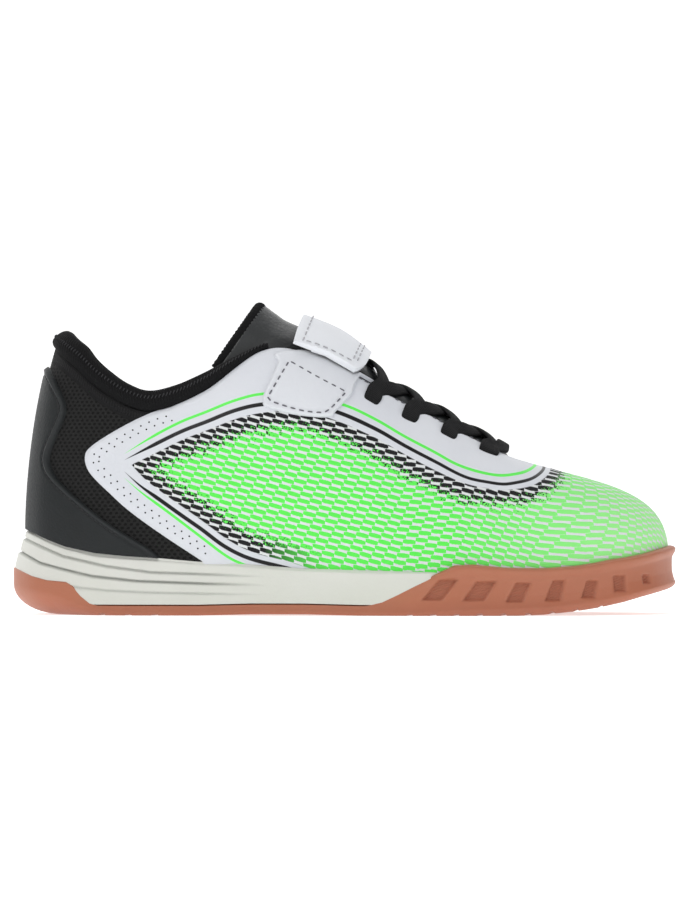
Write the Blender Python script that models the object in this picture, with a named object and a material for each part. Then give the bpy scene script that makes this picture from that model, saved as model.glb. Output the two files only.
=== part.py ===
"""A child's indoor soccer shoe for the right foot, one closed solid for each piece.

Metres. X runs from heel to toe, Y to the medial side and Z up; the sole stands on Z = 0.
"""
import math
from collections import namedtuple

import bmesh
import bpy
import numpy as np

# Driving sizes
LENGTH = 0.207
BALL_WIDTH = 0.078
WAIST_WIDTH = 0.060
HEEL_WIDTH = 0.0575
HEEL_HEIGHT = 0.083
QUARTER_HEIGHT = 0.0631
INSTEP_HEIGHT = 0.0832
VAMP_HEIGHT = 0.0478
OPENING_WIDTH = 0.0405
THROAT_WIDTH = 0.0225

# Sole sizes
TREAD_BASE = 0.0031
TREAD_DEPTH = 0.0010
GUM_WALL = 0.0127
TOE_SPRING = 0.0075
WAIST_LIFT = 0.0004
MIDSOLE_HEEL = 0.0090
HEEL_COLLAR_RISE = 0.0264
HEEL_FLARE = 0.0030
HEEL_BEVEL = 0.0150
HEEL_BEVEL_RISE = 0.0094
SOLE_MARGIN = 0.0056
MIDSOLE_WALL = 0.0023
RIM_ROUND = 0.0004
RIM_FADE = 0.0012
CUP_TUCK = 0.0062
CUP_RISE = 0.0040
GUM_RELIEF = 0.0011
RIB_STEP = 0.0009
INSOLE_THICKNESS = 0.0032
RECESS_DEPTH = 0.0011
GROOVE_WIDTH = 0.0017
GROOVE_SWEEP = 0.0060
CUT_MARGIN = 0.0040

# Upper sizes
WALL = 0.0015
PANEL_STEP = 0.0007
COUNTER_THICKNESS = 0.0012
PATCH_THICKNESS = 0.0010
CROWN_HEIGHT = 0.0104
RIDGE_LENGTH = 0.0740
COLLAR_HEIGHT = 0.0080
COLLAR_BULGE = 0.0012
COLLAR_PADDING = 0.0062
COLLAR_TAIL = 0.0150
COLLAR_LINING = 0.0008
COLLAR_SEAT = 0.0011
COLLAR_END = 6.15
TONGUE_LENGTH = 0.0680
TONGUE_REACH = 0.0175
TONGUE_THICKNESS = 0.0036
TONGUE_TUCK = 0.0012
TONGUE_NOSE = 0.0045
TONGUE_DIP = 0.0022
STRAP_WIDTH = 0.0230
STRAP_THICKNESS = 0.0024
STRAP_REAR = -0.0056
STRAP_HUG = 0.0004
LACE_WIDTH = 0.0052
LACE_THICKNESS = 0.0011
FIRST_SLOT = 0.0140
SLOT_PITCH = 0.0131
SLOT_PAIRS = 5
LACE_STEP = 0.24
BAR_STEP = 0.21
SLOT_INSET = 0.0046
SLOT_WIDTH = 0.0014
SLOT_REACH = 0.0050
GAP = 0.0003

HALF_WIDTH = {"heel": HEEL_WIDTH / 2, "waist": WAIST_WIDTH / 2, "ball": BALL_WIDTH / 2}
HALF_TOP = {"opening": OPENING_WIDTH / 2, "throat": THROAT_WIDTH / 2}
TOP_HEIGHT = {"heel": HEEL_HEIGHT, "quarter": QUARTER_HEIGHT,
              "instep": INSTEP_HEIGHT, "vamp": VAMP_HEIGHT}

# One row for each section from the heel centre to the toe centre. The outline is that of the
# sole; top is the upper's top edge. Widths are shares of the half width that the row names.
Section = namedtuple("Section", "along lateral medial width top_along top_lateral top_medial top_width "
                                "rise height inset lean lower slope upper")
SECTIONS = [
    Section(.000, -.070, -.070, "heel", .063, -.079, -.079, "opening", 1.00, "heel", 1.00, 6, .27, 73, .30),
    Section(.024, -.557, .417, "heel", .073, -.514, .356, "opening", .973, "heel", .965, 7, .30, 75, .32),
    Section(.065, -.835, .689, "heel", .101, -.820, .672, "opening", .910, "heel", .93, 9, .34, 77, .34),
    Section(.123, -1.016, .863, "heel", .140, -.983, .849, "opening", 1.087, "quarter", .895, 10, .38, 78, .36),
    Section(.200, -1.078, .925, "heel", .205, -1.057, .928, "opening", 1.00, "quarter", .86, 10, .38, 76, .34),
    Section(.297, -1.053, .873, "waist", .287, -1.007, .919, "opening", 1.094, "quarter", .82, 7, .36, 66, .30),
    Section(.399, -1.080, .853, "waist", .374, -.904, .854, "opening", .982, "instep", .785, 2, .33, 50, .25),
    Section(.495, -1.153, .953, "waist", .442, -1.351, 1.298, "throat", .977, "instep", .75, -1, .31, 41, .23),
    Section(.587, -.959, .862, "ball", .514, -1.120, 1.102, "throat", .894, "instep", .715, -2, .30, 36, .23),
    Section(.664, -1.000, .959, "ball", .572, -.996, 1.013, "throat", .810, "instep", .68, 0, .28, 33, .26),
    Section(.737, -.979, 1.00, "ball", .626, -.907, .960, "throat", .744, "instep", .66, 2, .27, 30, .32),
    Section(.809, -.887, .964, "ball", .671, -.827, .907, "throat", 1.188, "vamp", .66, 3, .28, 27, .37),
    Section(.877, -.750, .890, "ball", .710, -.720, .818, "throat", 1.103, "vamp", .643, 4, .33, 24, .41),
    Section(.935, -.560, .755, "ball", .739, -.498, .622, "throat", 1.038, "vamp", .643, 6, .39, 21, .44),
    Section(.977, -.285, .540, "ball", .755, -.231, .373, "throat", 1.008, "vamp", .625, 8, .43, 19, .46),
    Section(1.00, .128, .128, "ball", .761, .089, .089, "throat", 1.00, "vamp", .607, 9, .45, 18, .47),
]
TOE = len(SECTIONS) - 1
LOOP = 2 * TOE

# Heights along the sole as shares of the size that each list is for.
Share = namedtuple("Share", "along share")
GROUND = [Share(.00, 0), Share(.28, 0), Share(.36, -1), Share(.44, -1), Share(.52, 0), Share(.76, 0),
          Share(.80, .04), Share(.846, .16), Share(.882, .30), Share(.927, .54), Share(.953, .72),
          Share(1.0, 1.0)]
GUM_TOP = [Share(.000, .913), Share(.029, .709), Share(.052, .614), Share(.082, .575), Share(.093, .465),
           Share(.104, .244), Share(.118, .055), Share(.130, 0), Share(.531, 0), Share(.555, .094),
           Share(.581, .307), Share(.606, .528), Share(.630, .732), Share(.664, .976), Share(.693, 1.0),
           Share(.738, .929), Share(.810, .878), Share(.857, .858), Share(.905, .866),
           Share(.953, .811), Share(1.0, .843)]
MIDSOLE_TOP = [Share(.000, 1.0), Share(.038, .894), Share(.074, .799), Share(.121, .727),
               Share(.167, .693), Share(.212, .670), Share(.281, .621), Share(.343, .600),
               Share(.432, .545), Share(.506, .527), Share(.581, .511), Share(.640, .500)]
MIDSOLE_END = .665
MIDSOLE_DEPTH = [Share(.00, 1.0), Share(.21, .88), Share(.40, .69), Share(.60, .54), Share(.74, .46),
                 Share(.84, .38), Share(1.0, .30)]
HIDDEN_LIP = [Share(.00, 1.0), Share(.08, .92), Share(.50, .83), Share(.58, .70), Share(.64, .39),
              Share(.67, .22), Share(.70, 0), Share(1.0, 0)]
FLARE = [Share(.00, 1.0), Share(.10, .85), Share(.20, .75), Share(.50, .55), Share(.66, .4),
         Share(1.0, .3)]
BEVEL = [Share(.00, 1.0), Share(.06, .75), Share(.12, .30), Share(.17, .09), Share(.60, .09),
         Share(.70, .15), Share(.90, .20), Share(1.0, .30)]
BEVEL_RISE = [Share(.00, 1.0), Share(.06, .745), Share(.12, .255), Share(.17, .128), Share(.60, .128),
              Share(.70, .234), Share(1.0, .277)]
RELIEF = [Share(.00, 0), Share(.60, 0), Share(.68, 1), Share(1.0, 1)]
COLLAR_RISE = [Share(.00, .70), Share(1.0, .825), Share(2.0, 1.0), Share(3.0, .95), Share(4.0, .825),
               Share(5.0, .775), Share(6.0, .325), Share(6.6, .175)]
COLLAR_ROLL = [(.10, .82), (.48, 1.0), (.86, .80), (1.0, .22)]
COLLAR_THICK = [Share(.00, 1.0), Share(3.0, .9), Share(4.0, .70), Share(5.0, .42), Share(6.0, .25),
                Share(6.6, .22)]
CROWN = [Share(-.19, 1.0), Share(0, .894), Share(.19, .712), Share(.405, .50), Share(.608, .423),
         Share(1.0, .308)]
TONGUE_TUCKS = [Share(0, 0), Share(.75, 0), Share(1.0, 1.0), Share(1.2, .83), Share(1.45, .58)]

# Outlines drawn on the side view: along is a share of the length, up of the instep height.
Corner = namedtuple("Corner", "along up")
COUNTER_FRONT = [Corner(.050, .950), Corner(.082, .791), Corner(.085, .764), Corner(.064, .642),
                 Corner(.054, .578), Corner(.065, .511), Corner(.098, .440), Corner(.143, .343),
                 Corner(.190, .276), Corner(.232, .215), Corner(.240, .10)]
PANEL_REAR = [Corner(.206, .860), Corner(.203, .755), Corner(.121, .630), Corner(.110, .582),
              Corner(.118, .530), Corner(.149, .451), Corner(.179, .385), Corner(.226, .302),
              Corner(.271, .234), Corner(.300, .10)]
PATCH_OUTLINE = [Corner(.405, 1.04), Corner(.398, .929), Corner(.379, .825), Corner(.377, .794),
                 Corner(.383, .772), Corner(.421, .746), Corner(.462, .734), Corner(.480, .738),
                 Corner(.484, .751), Corner(.497, .787), Corner(.509, .821), Corner(.512, .850),
                 Corner(.524, .899), Corner(.540, 1.04)]
# Slanted recesses in the gum wall, from the rear: foot and head as rear and front shares.
Recess = namedtuple("Recess", "foot_rear foot_front foot_up head_rear head_front head_up")
RECESSES = [
    Recess(.617, .642, .060, .642, .665, .134),
    Recess(.678, .705, .058, .698, .723, .127),
    Recess(.742, .763, .052, .757, .775, .122),
    Recess(.801, .820, .056, .813, .826, .130),
    Recess(.856, .871, .066, .864, .876, .129),
    Recess(.906, .919, .089, .904, .918, .147),
]
GROOVE_PLACES = [.125, .165, .205, .590, .625, .660, .695, .730, .765, .800, .835, .870]

Flap = namedtuple("Flap", "back up tilt half drop")
FLAPS = [Flap(.543, .086, 27, .69, .19), Flap(.771, .229, 31, .69, .235), Flap(1.0, .40, 35, .70, .285)]


def shares(table, places):
    """Read a table of shares at these places, in straight steps."""
    return np.interp(places, [row[0] for row in table], [row[1] for row in table])


def around(values, u):
    """A smooth closed curve through one value for each station, read at u."""
    u = np.asarray(u, dtype=float)
    first = np.floor(u).astype(int)
    t = u - first
    p0, p1, p2, p3 = (values[(first + k) % LOOP] for k in (-1, 0, 1, 2))
    if values.ndim > 1:
        t = t[..., None]
    return p1 + 0.5 * t * (p2 - p0 + t * (2 * p0 - 5 * p1 + 4 * p2 - p3 + t * (3 * (p1 - p2) + p3 - p0)))


def loop_of(lateral, medial):
    """Station values round the shoe: out along the lateral side, back along the medial one."""
    return np.array([lateral(row) for row in SECTIONS] + [medial(row) for row in SECTIONS[-2:0:-1]])


def x_of(share):
    return (share - 0.5) * LENGTH


OUTLINE = loop_of(lambda r: (x_of(r.along), r.lateral * HALF_WIDTH[r.width]),
                  lambda r: (x_of(r.along), r.medial * HALF_WIDTH[r.width]))
TOP_EDGE = loop_of(
    lambda r: (x_of(r.top_along), r.top_lateral * HALF_TOP[r.top_width], r.rise * TOP_HEIGHT[r.height]),
    lambda r: (x_of(r.top_along), r.top_medial * HALF_TOP[r.top_width], r.rise * TOP_HEIGHT[r.height]))
INSET = loop_of(lambda r: r.inset * SOLE_MARGIN, lambda r: r.inset * SOLE_MARGIN)
LEAN = loop_of(lambda r: math.radians(r.lean), lambda r: math.radians(r.lean))
SLOPE = loop_of(lambda r: math.radians(r.slope), lambda r: math.radians(r.slope))
LOWER = loop_of(lambda r: r.lower, lambda r: r.lower)
UPPER = loop_of(lambda r: r.upper, lambda r: r.upper)
SIDE_STEP = 0.01


def outward(curve, u):
    """The level direction that points out of a closed curve at u."""
    travel = around(curve, u + SIDE_STEP)[..., :2] - around(curve, u - SIDE_STEP)[..., :2]
    travel = travel / np.linalg.norm(travel, axis=-1, keepdims=True)
    return np.stack([travel[..., 1], -travel[..., 0], np.zeros_like(travel[..., 0])], axis=-1)


def plan(u):
    """The sole's outline at u, on Z = 0."""
    flat = around(OUTLINE, u)
    return np.stack([flat[..., 0], flat[..., 1], np.zeros_like(flat[..., 0])], axis=-1)


def place(u):
    """How far along the shoe a station of the outline is, from 0 to 1."""
    return plan(u)[..., 0] / LENGTH + 0.5


def ground(u):
    table = shares(GROUND, place(u))
    return np.where(table < 0, -table * WAIST_LIFT, table * TOE_SPRING)


def gum_floor(u):
    return ground(u) + TREAD_BASE


def gum_top(u):
    return gum_floor(u) + shares(GUM_TOP, place(u)) * GUM_WALL


def footbed(u):
    return gum_floor(u) + GAP + shares(MIDSOLE_DEPTH, place(u)) * MIDSOLE_HEEL


def midsole_top(u):
    along = place(u)
    top = shares(MIDSOLE_TOP, along) * HEEL_COLLAR_RISE
    fade = np.clip((MIDSOLE_END - along) / (MIDSOLE_END - MIDSOLE_TOP[-1].along), 0, 1)
    return footbed(u) + (top - footbed(u)) * fade


def upper_surface(u, v):
    """The upper's outer face: u goes round the shoe, v from the sole edge to the top edge."""
    u = np.asarray(u, dtype=float)
    v = np.broadcast_to(np.asarray(v, dtype=float), u.shape)[..., None]
    out = outward(OUTLINE, u)
    up = np.array([0.0, 0.0, 1.0])
    foot = plan(u) - out * around(INSET, u)[..., None] + up * (footbed(u) + GAP)[..., None]
    top = around(TOP_EDGE, u)
    reach = np.linalg.norm(top - foot, axis=-1, keepdims=True)
    lean = around(LEAN, u)[..., None]
    slope = around(SLOPE, u)[..., None]
    low = foot + (out * np.sin(lean) + up * np.cos(lean)) * reach * around(LOWER, u)[..., None]
    high = top + (outward(TOP_EDGE, u) * np.cos(slope) - up * np.sin(slope)) * reach * around(UPPER, u)[..., None]
    w = 1 - v
    return w ** 3 * foot + 3 * w * w * v * low + 3 * w * v * v * high + v ** 3 * top


def upper_normal(u, v):
    step = 0.004
    high = np.minimum(v + step, 1.0)
    low = np.maximum(v - step, 0.0)
    along = upper_surface(u + step, v) - upper_surface(u - step, v)
    rise = upper_surface(u, high) - upper_surface(u, low)
    normal = np.cross(along, rise)
    return normal / np.linalg.norm(normal, axis=-1, keepdims=True)


def upper_offset(u, v, distance):
    """A point off the upper's outer face: out of the shoe, or into it where negative."""
    u = np.asarray(u, dtype=float)
    v = np.broadcast_to(np.asarray(v, dtype=float), u.shape)
    return upper_surface(u, v) + upper_normal(u, v) * distance


def at_height(u, height):
    """Where each station's line on the upper reaches this height, as v."""
    low = np.zeros_like(u)
    high = np.full_like(u, 0.8)
    for _ in range(30):
        middle = (low + high) / 2
        below = upper_surface(u, middle)[..., 2] < height
        low = np.where(below, middle, low)
        high = np.where(below, high, middle)
    return (low + high) / 2


def beside_upper(u, height, distance):
    """A point level with the upper's outer face at this height, this far outside it."""
    point = upper_surface(u, at_height(u, height))
    point = point + outward(OUTLINE, u) * np.asarray(distance)[..., None]
    point[..., 2] = height
    return point


def beside_outline(u, height, distance):
    point = plan(u) + outward(OUTLINE, u) * np.asarray(distance)[..., None]
    point[..., 2] = height
    return point


THROAT_TOP = 7.0
CREST = (around(TOP_EDGE, THROAT_TOP) + around(TOP_EDGE, LOOP - THROAT_TOP)) / 2
RIDGE = around(TOP_EDGE, TOE) - CREST
RIDGE[1] = 0.0
RIDGE = RIDGE / np.linalg.norm(RIDGE)
RIDGE_UP = np.array([-RIDGE[2], 0.0, RIDGE[0]])
ACROSS_UNIT = 0.010
BRIDGE_SHARE = 0.75


def throat_side(side, s, reach):
    """A point on one side of the throat, s along the ridge and reach below the edge."""
    rear = np.full_like(s, 4.0)
    front = np.full_like(s, float(TOE))
    for _ in range(32):
        middle = (rear + front) / 2
        point = throat_point(side, middle, reach)
        behind = (point - CREST) @ RIDGE < s
        rear = np.where(behind, middle, rear)
        front = np.where(behind, front, middle)
    return throat_point(side, (rear + front) / 2, reach)


def throat_point(side, row, reach):
    u = row if side < 0 else LOOP - row
    top = around(TOP_EDGE, u)
    foot = plan(u)
    speed = 3 * np.linalg.norm(top - foot, axis=-1) * around(UPPER, u)
    return upper_surface(u, 1 - reach / speed)


def instep(s, q):
    """The instep as if it were whole: s runs down the ridge, q across, -1 to 1 over the throat."""
    s, q = np.broadcast_arrays(np.asarray(s, dtype=float), np.asarray(q, dtype=float))
    reach = np.maximum(np.abs(q) - 1, 0) * ACROSS_UNIT
    lateral = throat_side(-1, s, np.where(q < 0, reach, 0))
    medial = throat_side(1, s, np.where(q > 0, reach, 0))
    half = (medial - lateral) / 2
    lift = shares(CROWN, s / RIDGE_LENGTH)[..., None] * CROWN_HEIGHT / BRIDGE_SHARE
    left = lateral + half * 0.45 + RIDGE_UP * lift
    right = medial - half * 0.45 + RIDGE_UP * lift
    t = ((np.clip(q, -1, 1) + 1) / 2)[..., None]
    w = 1 - t
    bridge = w ** 3 * lateral + 3 * w * w * t * left + 3 * w * t * t * right + t ** 3 * medial
    beyond = np.where((q < 0)[..., None], lateral, medial)
    return np.where((np.abs(q) > 1)[..., None], beyond, bridge)


def instep_offset(s, q, distance):
    s, q = np.broadcast_arrays(np.asarray(s, dtype=float), np.asarray(q, dtype=float))
    step = 0.0006
    turn = 0.06
    along = instep(s + step, q) - instep(s - step, q)
    across = instep(s, q + turn) - instep(s, q - turn)
    normal = np.cross(along, across)
    normal = normal / np.linalg.norm(normal, axis=-1, keepdims=True)
    return instep(s, q) + normal * np.asarray(distance)[..., None]


def stations(steps, extra=()):
    """Stations round the shoe, the same on both sides, with extra steps in some rows."""
    side = []
    for row in range(TOE):
        count = dict(extra).get(row, steps)
        side += [row + k / count for k in range(count)]
    side.append(float(TOE))
    return np.array(side + [LOOP - u for u in side[-2:0:-1]])


def material(name, colour, roughness):
    """A plain finish; the colour is given in display values."""
    made = bpy.data.materials.new(name)
    made.use_nodes = True
    shader = made.node_tree.nodes["Principled BSDF"]
    linear = [((c + 0.055) / 1.055) ** 2.4 for c in colour]
    shader.inputs["Base Color"].default_value = (*linear, 1.0)
    shader.inputs["Roughness"].default_value = roughness
    shader.inputs["Metallic"].default_value = 0.0
    return made


def add_object(name, verts, faces, finish, hidden=False):
    mesh = bpy.data.meshes.new(name)
    mesh.from_pydata([tuple(map(float, v)) for v in verts], [], faces)
    shape = bmesh.new()
    shape.from_mesh(mesh)
    bmesh.ops.remove_doubles(shape, verts=shape.verts, dist=0.000002)
    bmesh.ops.dissolve_degenerate(shape, edges=shape.edges, dist=0.000001)
    bmesh.ops.recalc_face_normals(shape, faces=shape.faces)
    if shape.calc_volume(signed=True) < 0:
        bmesh.ops.reverse_faces(shape, faces=shape.faces)
    shape.to_mesh(mesh)
    shape.free()
    piece = bpy.data.objects.new(name, mesh)
    bpy.context.scene.collection.objects.link(piece)
    if finish:
        mesh.materials.append(finish)
    if hidden:
        piece.hide_render = True
        piece.display_type = "WIRE"
    return piece


def cross_faces(start, count, flip):
    """Faces that close a loop of stations from the lateral side to the medial one."""
    faces = []
    for k in range(count // 2):
        face = [start + k, start + k + 1, start + (count - k - 1) % count, start + (count - k) % count]
        face = list(dict.fromkeys(face))
        faces.append(face[::-1] if flip else face)
    return faces


def lofted(name, loops, finish, closed=False, hidden=False):
    """A solid through closed loops: a ring where closed is set, or capped at both ends."""
    count = len(loops[0])
    verts = np.concatenate(loops)
    faces = []
    total = len(loops)
    for i in range(total if closed else total - 1):
        a = i * count
        b = ((i + 1) % total) * count
        for k in range(count):
            n = (k + 1) % count
            faces.append([a + k, a + n, b + n, b + k])
    if not closed:
        faces += cross_faces(0, count, False)
        faces += cross_faces((total - 1) * count, count, True)
    return add_object(name, verts, faces, finish, hidden)


def slab(name, outer, inner, finish, hidden=False):
    """A solid between two grids of points with the same rows and columns."""
    rows, columns = outer.shape[:2]
    verts = np.concatenate([outer.reshape(-1, 3), inner.reshape(-1, 3)])
    under = rows * columns
    faces = []
    for i in range(rows - 1):
        for j in range(columns - 1):
            a = i * columns + j
            quad = [a, a + 1, a + columns + 1, a + columns]
            faces.append(quad)
            faces.append([under + k for k in quad[::-1]])
    rim = [j for j in range(columns)]
    rim += [i * columns + columns - 1 for i in range(1, rows)]
    rim += [(rows - 1) * columns + j for j in range(columns - 2, -1, -1)]
    rim += [i * columns for i in range(rows - 2, 0, -1)]
    for a, b in zip(rim, rim[1:] + rim[:1]):
        faces.append([a, under + a, under + b, b])
    return add_object(name, verts, faces, finish, hidden)


def tube(name, rings, finish):
    """A solid through rings of points, with flat ends."""
    count = len(rings[0])
    faces = []
    for i in range(len(rings) - 1):
        for k in range(count):
            n = (k + 1) % count
            a = i * count
            faces.append([a + k, a + n, a + count + n, a + count + k])
    faces.append(list(range(count)))
    last = (len(rings) - 1) * count
    faces.append([last + k for k in range(count)][::-1])
    return add_object(name, np.concatenate(rings), faces, finish)


def prism(name, corners, near, far):
    """A side-view outline drawn through from one Y to another."""
    points = [(x_of(c.along), c.up * INSTEP_HEIGHT) for c in corners]
    count = len(points)
    verts = [(x, near, z) for x, z in points] + [(x, far, z) for x, z in points]
    faces = [list(range(count)), [count + k for k in range(count)][::-1]]
    for k in range(count):
        n = (k + 1) % count
        faces.append([k, n, count + n, count + k])
    return add_object(name, verts, faces, None, hidden=True)


def combine(piece, other, operation):
    change = piece.modifiers.new(operation.title(), "BOOLEAN")
    change.operation = operation
    change.object = other


def slot_place(index):
    return FIRST_SLOT + index * SLOT_PITCH


def bevel_loops(u):
    """The outsole's loops from the tread up to its full width."""
    bevel = shares(BEVEL, place(u)) * HEEL_BEVEL
    rise = shares(BEVEL_RISE, place(u)) * HEEL_BEVEL_RISE
    loops = []
    for turn in (0, 32, 62):
        angle = math.radians(turn)
        inward = bevel * (1 - math.sin(angle))
        loops.append(beside_outline(u, ground(u) + rise * (1 - math.cos(angle)), -inward))
    return loops, ground(u) + rise


def make_outsole(finish):
    u = stations(3, ((2, 6), (8, 5)))
    loops, full = bevel_loops(u)
    top = gum_top(u)
    relief = shares(RELIEF, place(u)) * GUM_RELIEF
    for rise, depth in ((0.0, .15), (.40, 1.0), (.66, 1.0), (.80, .1), (.95, .2)):
        loops.append(beside_outline(u, full + (top - full) * rise, -relief * depth))
    loops.append(beside_outline(u, top, -relief * .6 - RIM_ROUND))
    lip = shares(HIDDEN_LIP, place(u)) * MIDSOLE_WALL
    bed = np.minimum(top, footbed(u) + GAP)
    for height in (top, (top + bed) / 2, bed, np.minimum(bed, gum_floor(u) + cup_rise(u)), gum_floor(u)):
        loops.append(inner_gum(u, height, lip))
    outsole = lofted("outsole", loops, finish)
    combine(outsole, groove_cutter(), "DIFFERENCE")
    combine(outsole, recess_cutter(), "DIFFERENCE")
    return outsole


def cup_rise(u):
    """How high the gum cup's rounded inner corner reaches above its floor."""
    return np.minimum(CUP_RISE, footbed(u) - gum_floor(u) - GAP)


def inner_gum(u, height, lip):
    """The gum wall's inner face, which stands off the upper by the midsole's hidden lip."""
    level = np.maximum(height, footbed(u) + GAP)
    low = np.clip(1 - (height - gum_floor(u)) / cup_rise(u), 0, 1)
    point = beside_upper(u, level, GAP + lip - shares(BEVEL, place(u)) * CUP_TUCK * low)
    point[..., 2] = height
    return point


def groove_cutter():
    """Chevron grooves across the tread, as deep as the tread and as wide as a groove."""
    verts = []
    faces = []
    across = np.linspace(-0.6, 0.6, 3) * BALL_WIDTH
    for share in GROOVE_PLACES:
        start = len(verts)
        for y in across:
            bend = GROOVE_SWEEP * (1 - abs(y) / (0.6 * BALL_WIDTH))
            x = x_of(share) + bend
            lift = float(np.interp(x / LENGTH + 0.5, [r.along for r in GROUND],
                                   [max(r.share, 0) * TOE_SPRING for r in GROUND]))
            for dx, z in ((-.5, -TREAD_BASE), (.5, -TREAD_BASE), (.5, lift + TREAD_DEPTH),
                          (-.5, lift + TREAD_DEPTH)):
                verts.append((x + dx * GROOVE_WIDTH, y, z))
        for i in range(len(across) - 1):
            a = start + 4 * i
            for k in range(4):
                n = (k + 1) % 4
                faces.append([a + k, a + n, a + 4 + n, a + 4 + k])
        faces.append([start + k for k in range(4)])
        faces.append([start + 4 * (len(across) - 1) + k for k in range(4)][::-1])
    return add_object("groove_cutter", verts, faces, None, hidden=True)


def outline_at(side, share):
    """The station on one side where the outline reaches this share of the length."""
    rear, front = 0.0, float(TOE)
    for _ in range(40):
        middle = (rear + front) / 2
        u = middle if side < 0 else LOOP - middle
        if place(u) < share:
            rear = middle
        else:
            front = middle
    return rear if side < 0 else LOOP - rear


def recess_cutter():
    """Slanted recesses on both sides of the gum wall."""
    verts = []
    faces = []
    for side in (-1, 1):
        for recess in RECESSES:
            start = len(verts)
            corners = ((recess.foot_rear, recess.foot_up), (recess.foot_front, recess.foot_up),
                       (recess.head_front, recess.head_up), (recess.head_rear, recess.head_up))
            for distance in (-GUM_RELIEF - RECESS_DEPTH, CUT_MARGIN):
                for share, up in corners:
                    u = np.array(outline_at(side, share))
                    verts.append(beside_outline(u, up * INSTEP_HEIGHT, distance))
            faces += [[start, start + 1, start + 2, start + 3], [start + 7, start + 6, start + 5, start + 4]]
            faces += [[start + k, start + (k + 1) % 4, start + 4 + (k + 1) % 4, start + 4 + k] for k in range(4)]
    return add_object("recess_cutter", verts, faces, None, hidden=True)


def make_midsole(finish):
    u = stations(3, ((2, 6), (8, 5)))
    lip = shares(HIDDEN_LIP, place(u)) * MIDSOLE_WALL
    floor = gum_floor(u) + GAP
    top = midsole_top(u)
    seam = np.minimum(gum_top(u) + GAP, top)
    seam = np.maximum(seam, floor)
    exposed = np.clip((top - seam - RIM_ROUND) / RIM_FADE, 0, 1)
    bed = np.minimum(seam, footbed(u) + GAP)
    loops = []
    for height in (floor, np.minimum(bed, floor + cup_rise(u)), bed, seam):
        loops.append(inner_gum(u, height, lip - GAP))
    flare = shares(FLARE, place(u)) * HEEL_FLARE
    steps = ((0, 0), (.30, 0), (.33, RIB_STEP * .8), (.36, .25 * RIB_STEP), (.62, .4 * RIB_STEP),
             (.66, RIB_STEP * 1.3), (1.0, RIB_STEP * 1.4))
    rib = np.interp(place(u), [0, .35, .45, 1], [1, 1, 0, 0])
    for rise, step in steps:
        height = seam + (top - seam) * rise
        inward = flare * rise + step * rib * 0.6
        face = beside_outline(u, height, -inward)
        inside = inner_gum(u, height, lip - GAP)
        blend = exposed[..., None]
        loops.append(inside + (face - inside) * blend)
    crest = beside_upper(u, np.maximum(top, footbed(u) + GAP), np.minimum(GAP, lip))
    crest[..., 2] = top
    loops.append(crest)
    well = beside_upper(u, footbed(u) + GAP, np.minimum(GAP, lip))
    well[..., 2] = footbed(u)
    loops.append(well)
    return lofted("midsole", loops, finish)


UPPER_LEVELS = (0, .11, .21, .31, .43, .58, .77, 1)
LINING_LEVELS = (1, .76, .54, .34, .17, 0)


def make_upper(finish):
    """One hollow wall, thicker where the printed panel lies on the heel's mesh."""
    u = stations(2, ((0, 3), (1, 3), (13, 3), (14, 3)))
    loops = [upper_offset(u, v, 0) for v in UPPER_LEVELS]
    loops += [upper_offset(u, v, -WALL) for v in LINING_LEVELS]
    upper = lofted("upper", loops, finish, closed=True)
    combine(upper, slot_cutter("slot_cutter", 0), "DIFFERENCE")
    combine(upper, raised_panel(), "UNION")
    return upper


def raised_panel():
    """The printed panel that steps up from the heel's mesh and covers the front."""
    u = stations(2, ((13, 3), (14, 3)))
    u = u[(u >= 2.5) & (u <= LOOP - 2.5)]
    foot = at_height(u, np.maximum(gum_top(u), midsole_top(u)) + 2 * GAP)
    grid = [foot + (.985 - foot) * c for c in (0, .09, .19, .31, .47, .70, 1)]
    outer = np.stack([upper_offset(u, v, PANEL_STEP) for v in grid], axis=1)
    inner = np.stack([upper_offset(u, v, -WALL * .6) for v in grid], axis=1)
    panel = slab("raised_panel", outer, inner, None, hidden=True)
    front = [Corner(1.1, .10), Corner(1.1, 1.2), Corner(.206, 1.2)]
    combine(panel, prism("panel_cutter", PANEL_REAR + front, -BALL_WIDTH, BALL_WIDTH), "INTERSECT")
    combine(panel, slot_cutter("panel_slot_cutter", GAP), "DIFFERENCE")
    return panel


def slot_cutter(name, margin):
    """The slots that the lace runs through, on both sides of the throat, wider by a margin."""
    verts = []
    faces = []
    half_q = (SLOT_WIDTH / 2 + margin) / ACROSS_UNIT
    for index in range(SLOT_PAIRS):
        for side in (-1, 1):
            if side < 0 and index == 0:
                continue
            start = len(verts)
            middle = side * (1 + SLOT_INSET / ACROSS_UNIT)
            half_s = LACE_WIDTH / 2 + GAP + margin
            corners = ((-half_s, -half_q), (half_s, -half_q), (half_s, half_q), (-half_s, half_q))
            for depth in (-SLOT_REACH, SLOT_REACH):
                for ds, dq in corners:
                    verts.append(instep_offset(slot_place(index) + ds, middle + dq, depth))
            faces += [[start, start + 1, start + 2, start + 3], [start + 7, start + 6, start + 5, start + 4]]
            faces += [[start + k, start + (k + 1) % 4, start + 4 + (k + 1) % 4, start + 4 + k] for k in range(4)]
    return add_object(name, verts, faces, None, hidden=True)


def make_insole(finish):
    u = stations(2)
    loops = []
    for height, inset in ((0, .0006), (.5, 0), (1, .0008)):
        level = footbed(u) + GAP + INSOLE_THICKNESS * height
        point = beside_upper(u, level + GAP, np.full_like(u, -WALL - 2 * GAP - inset))
        point[..., 2] = level
        loops.append(point)
    return lofted("insole", loops, finish)


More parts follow.
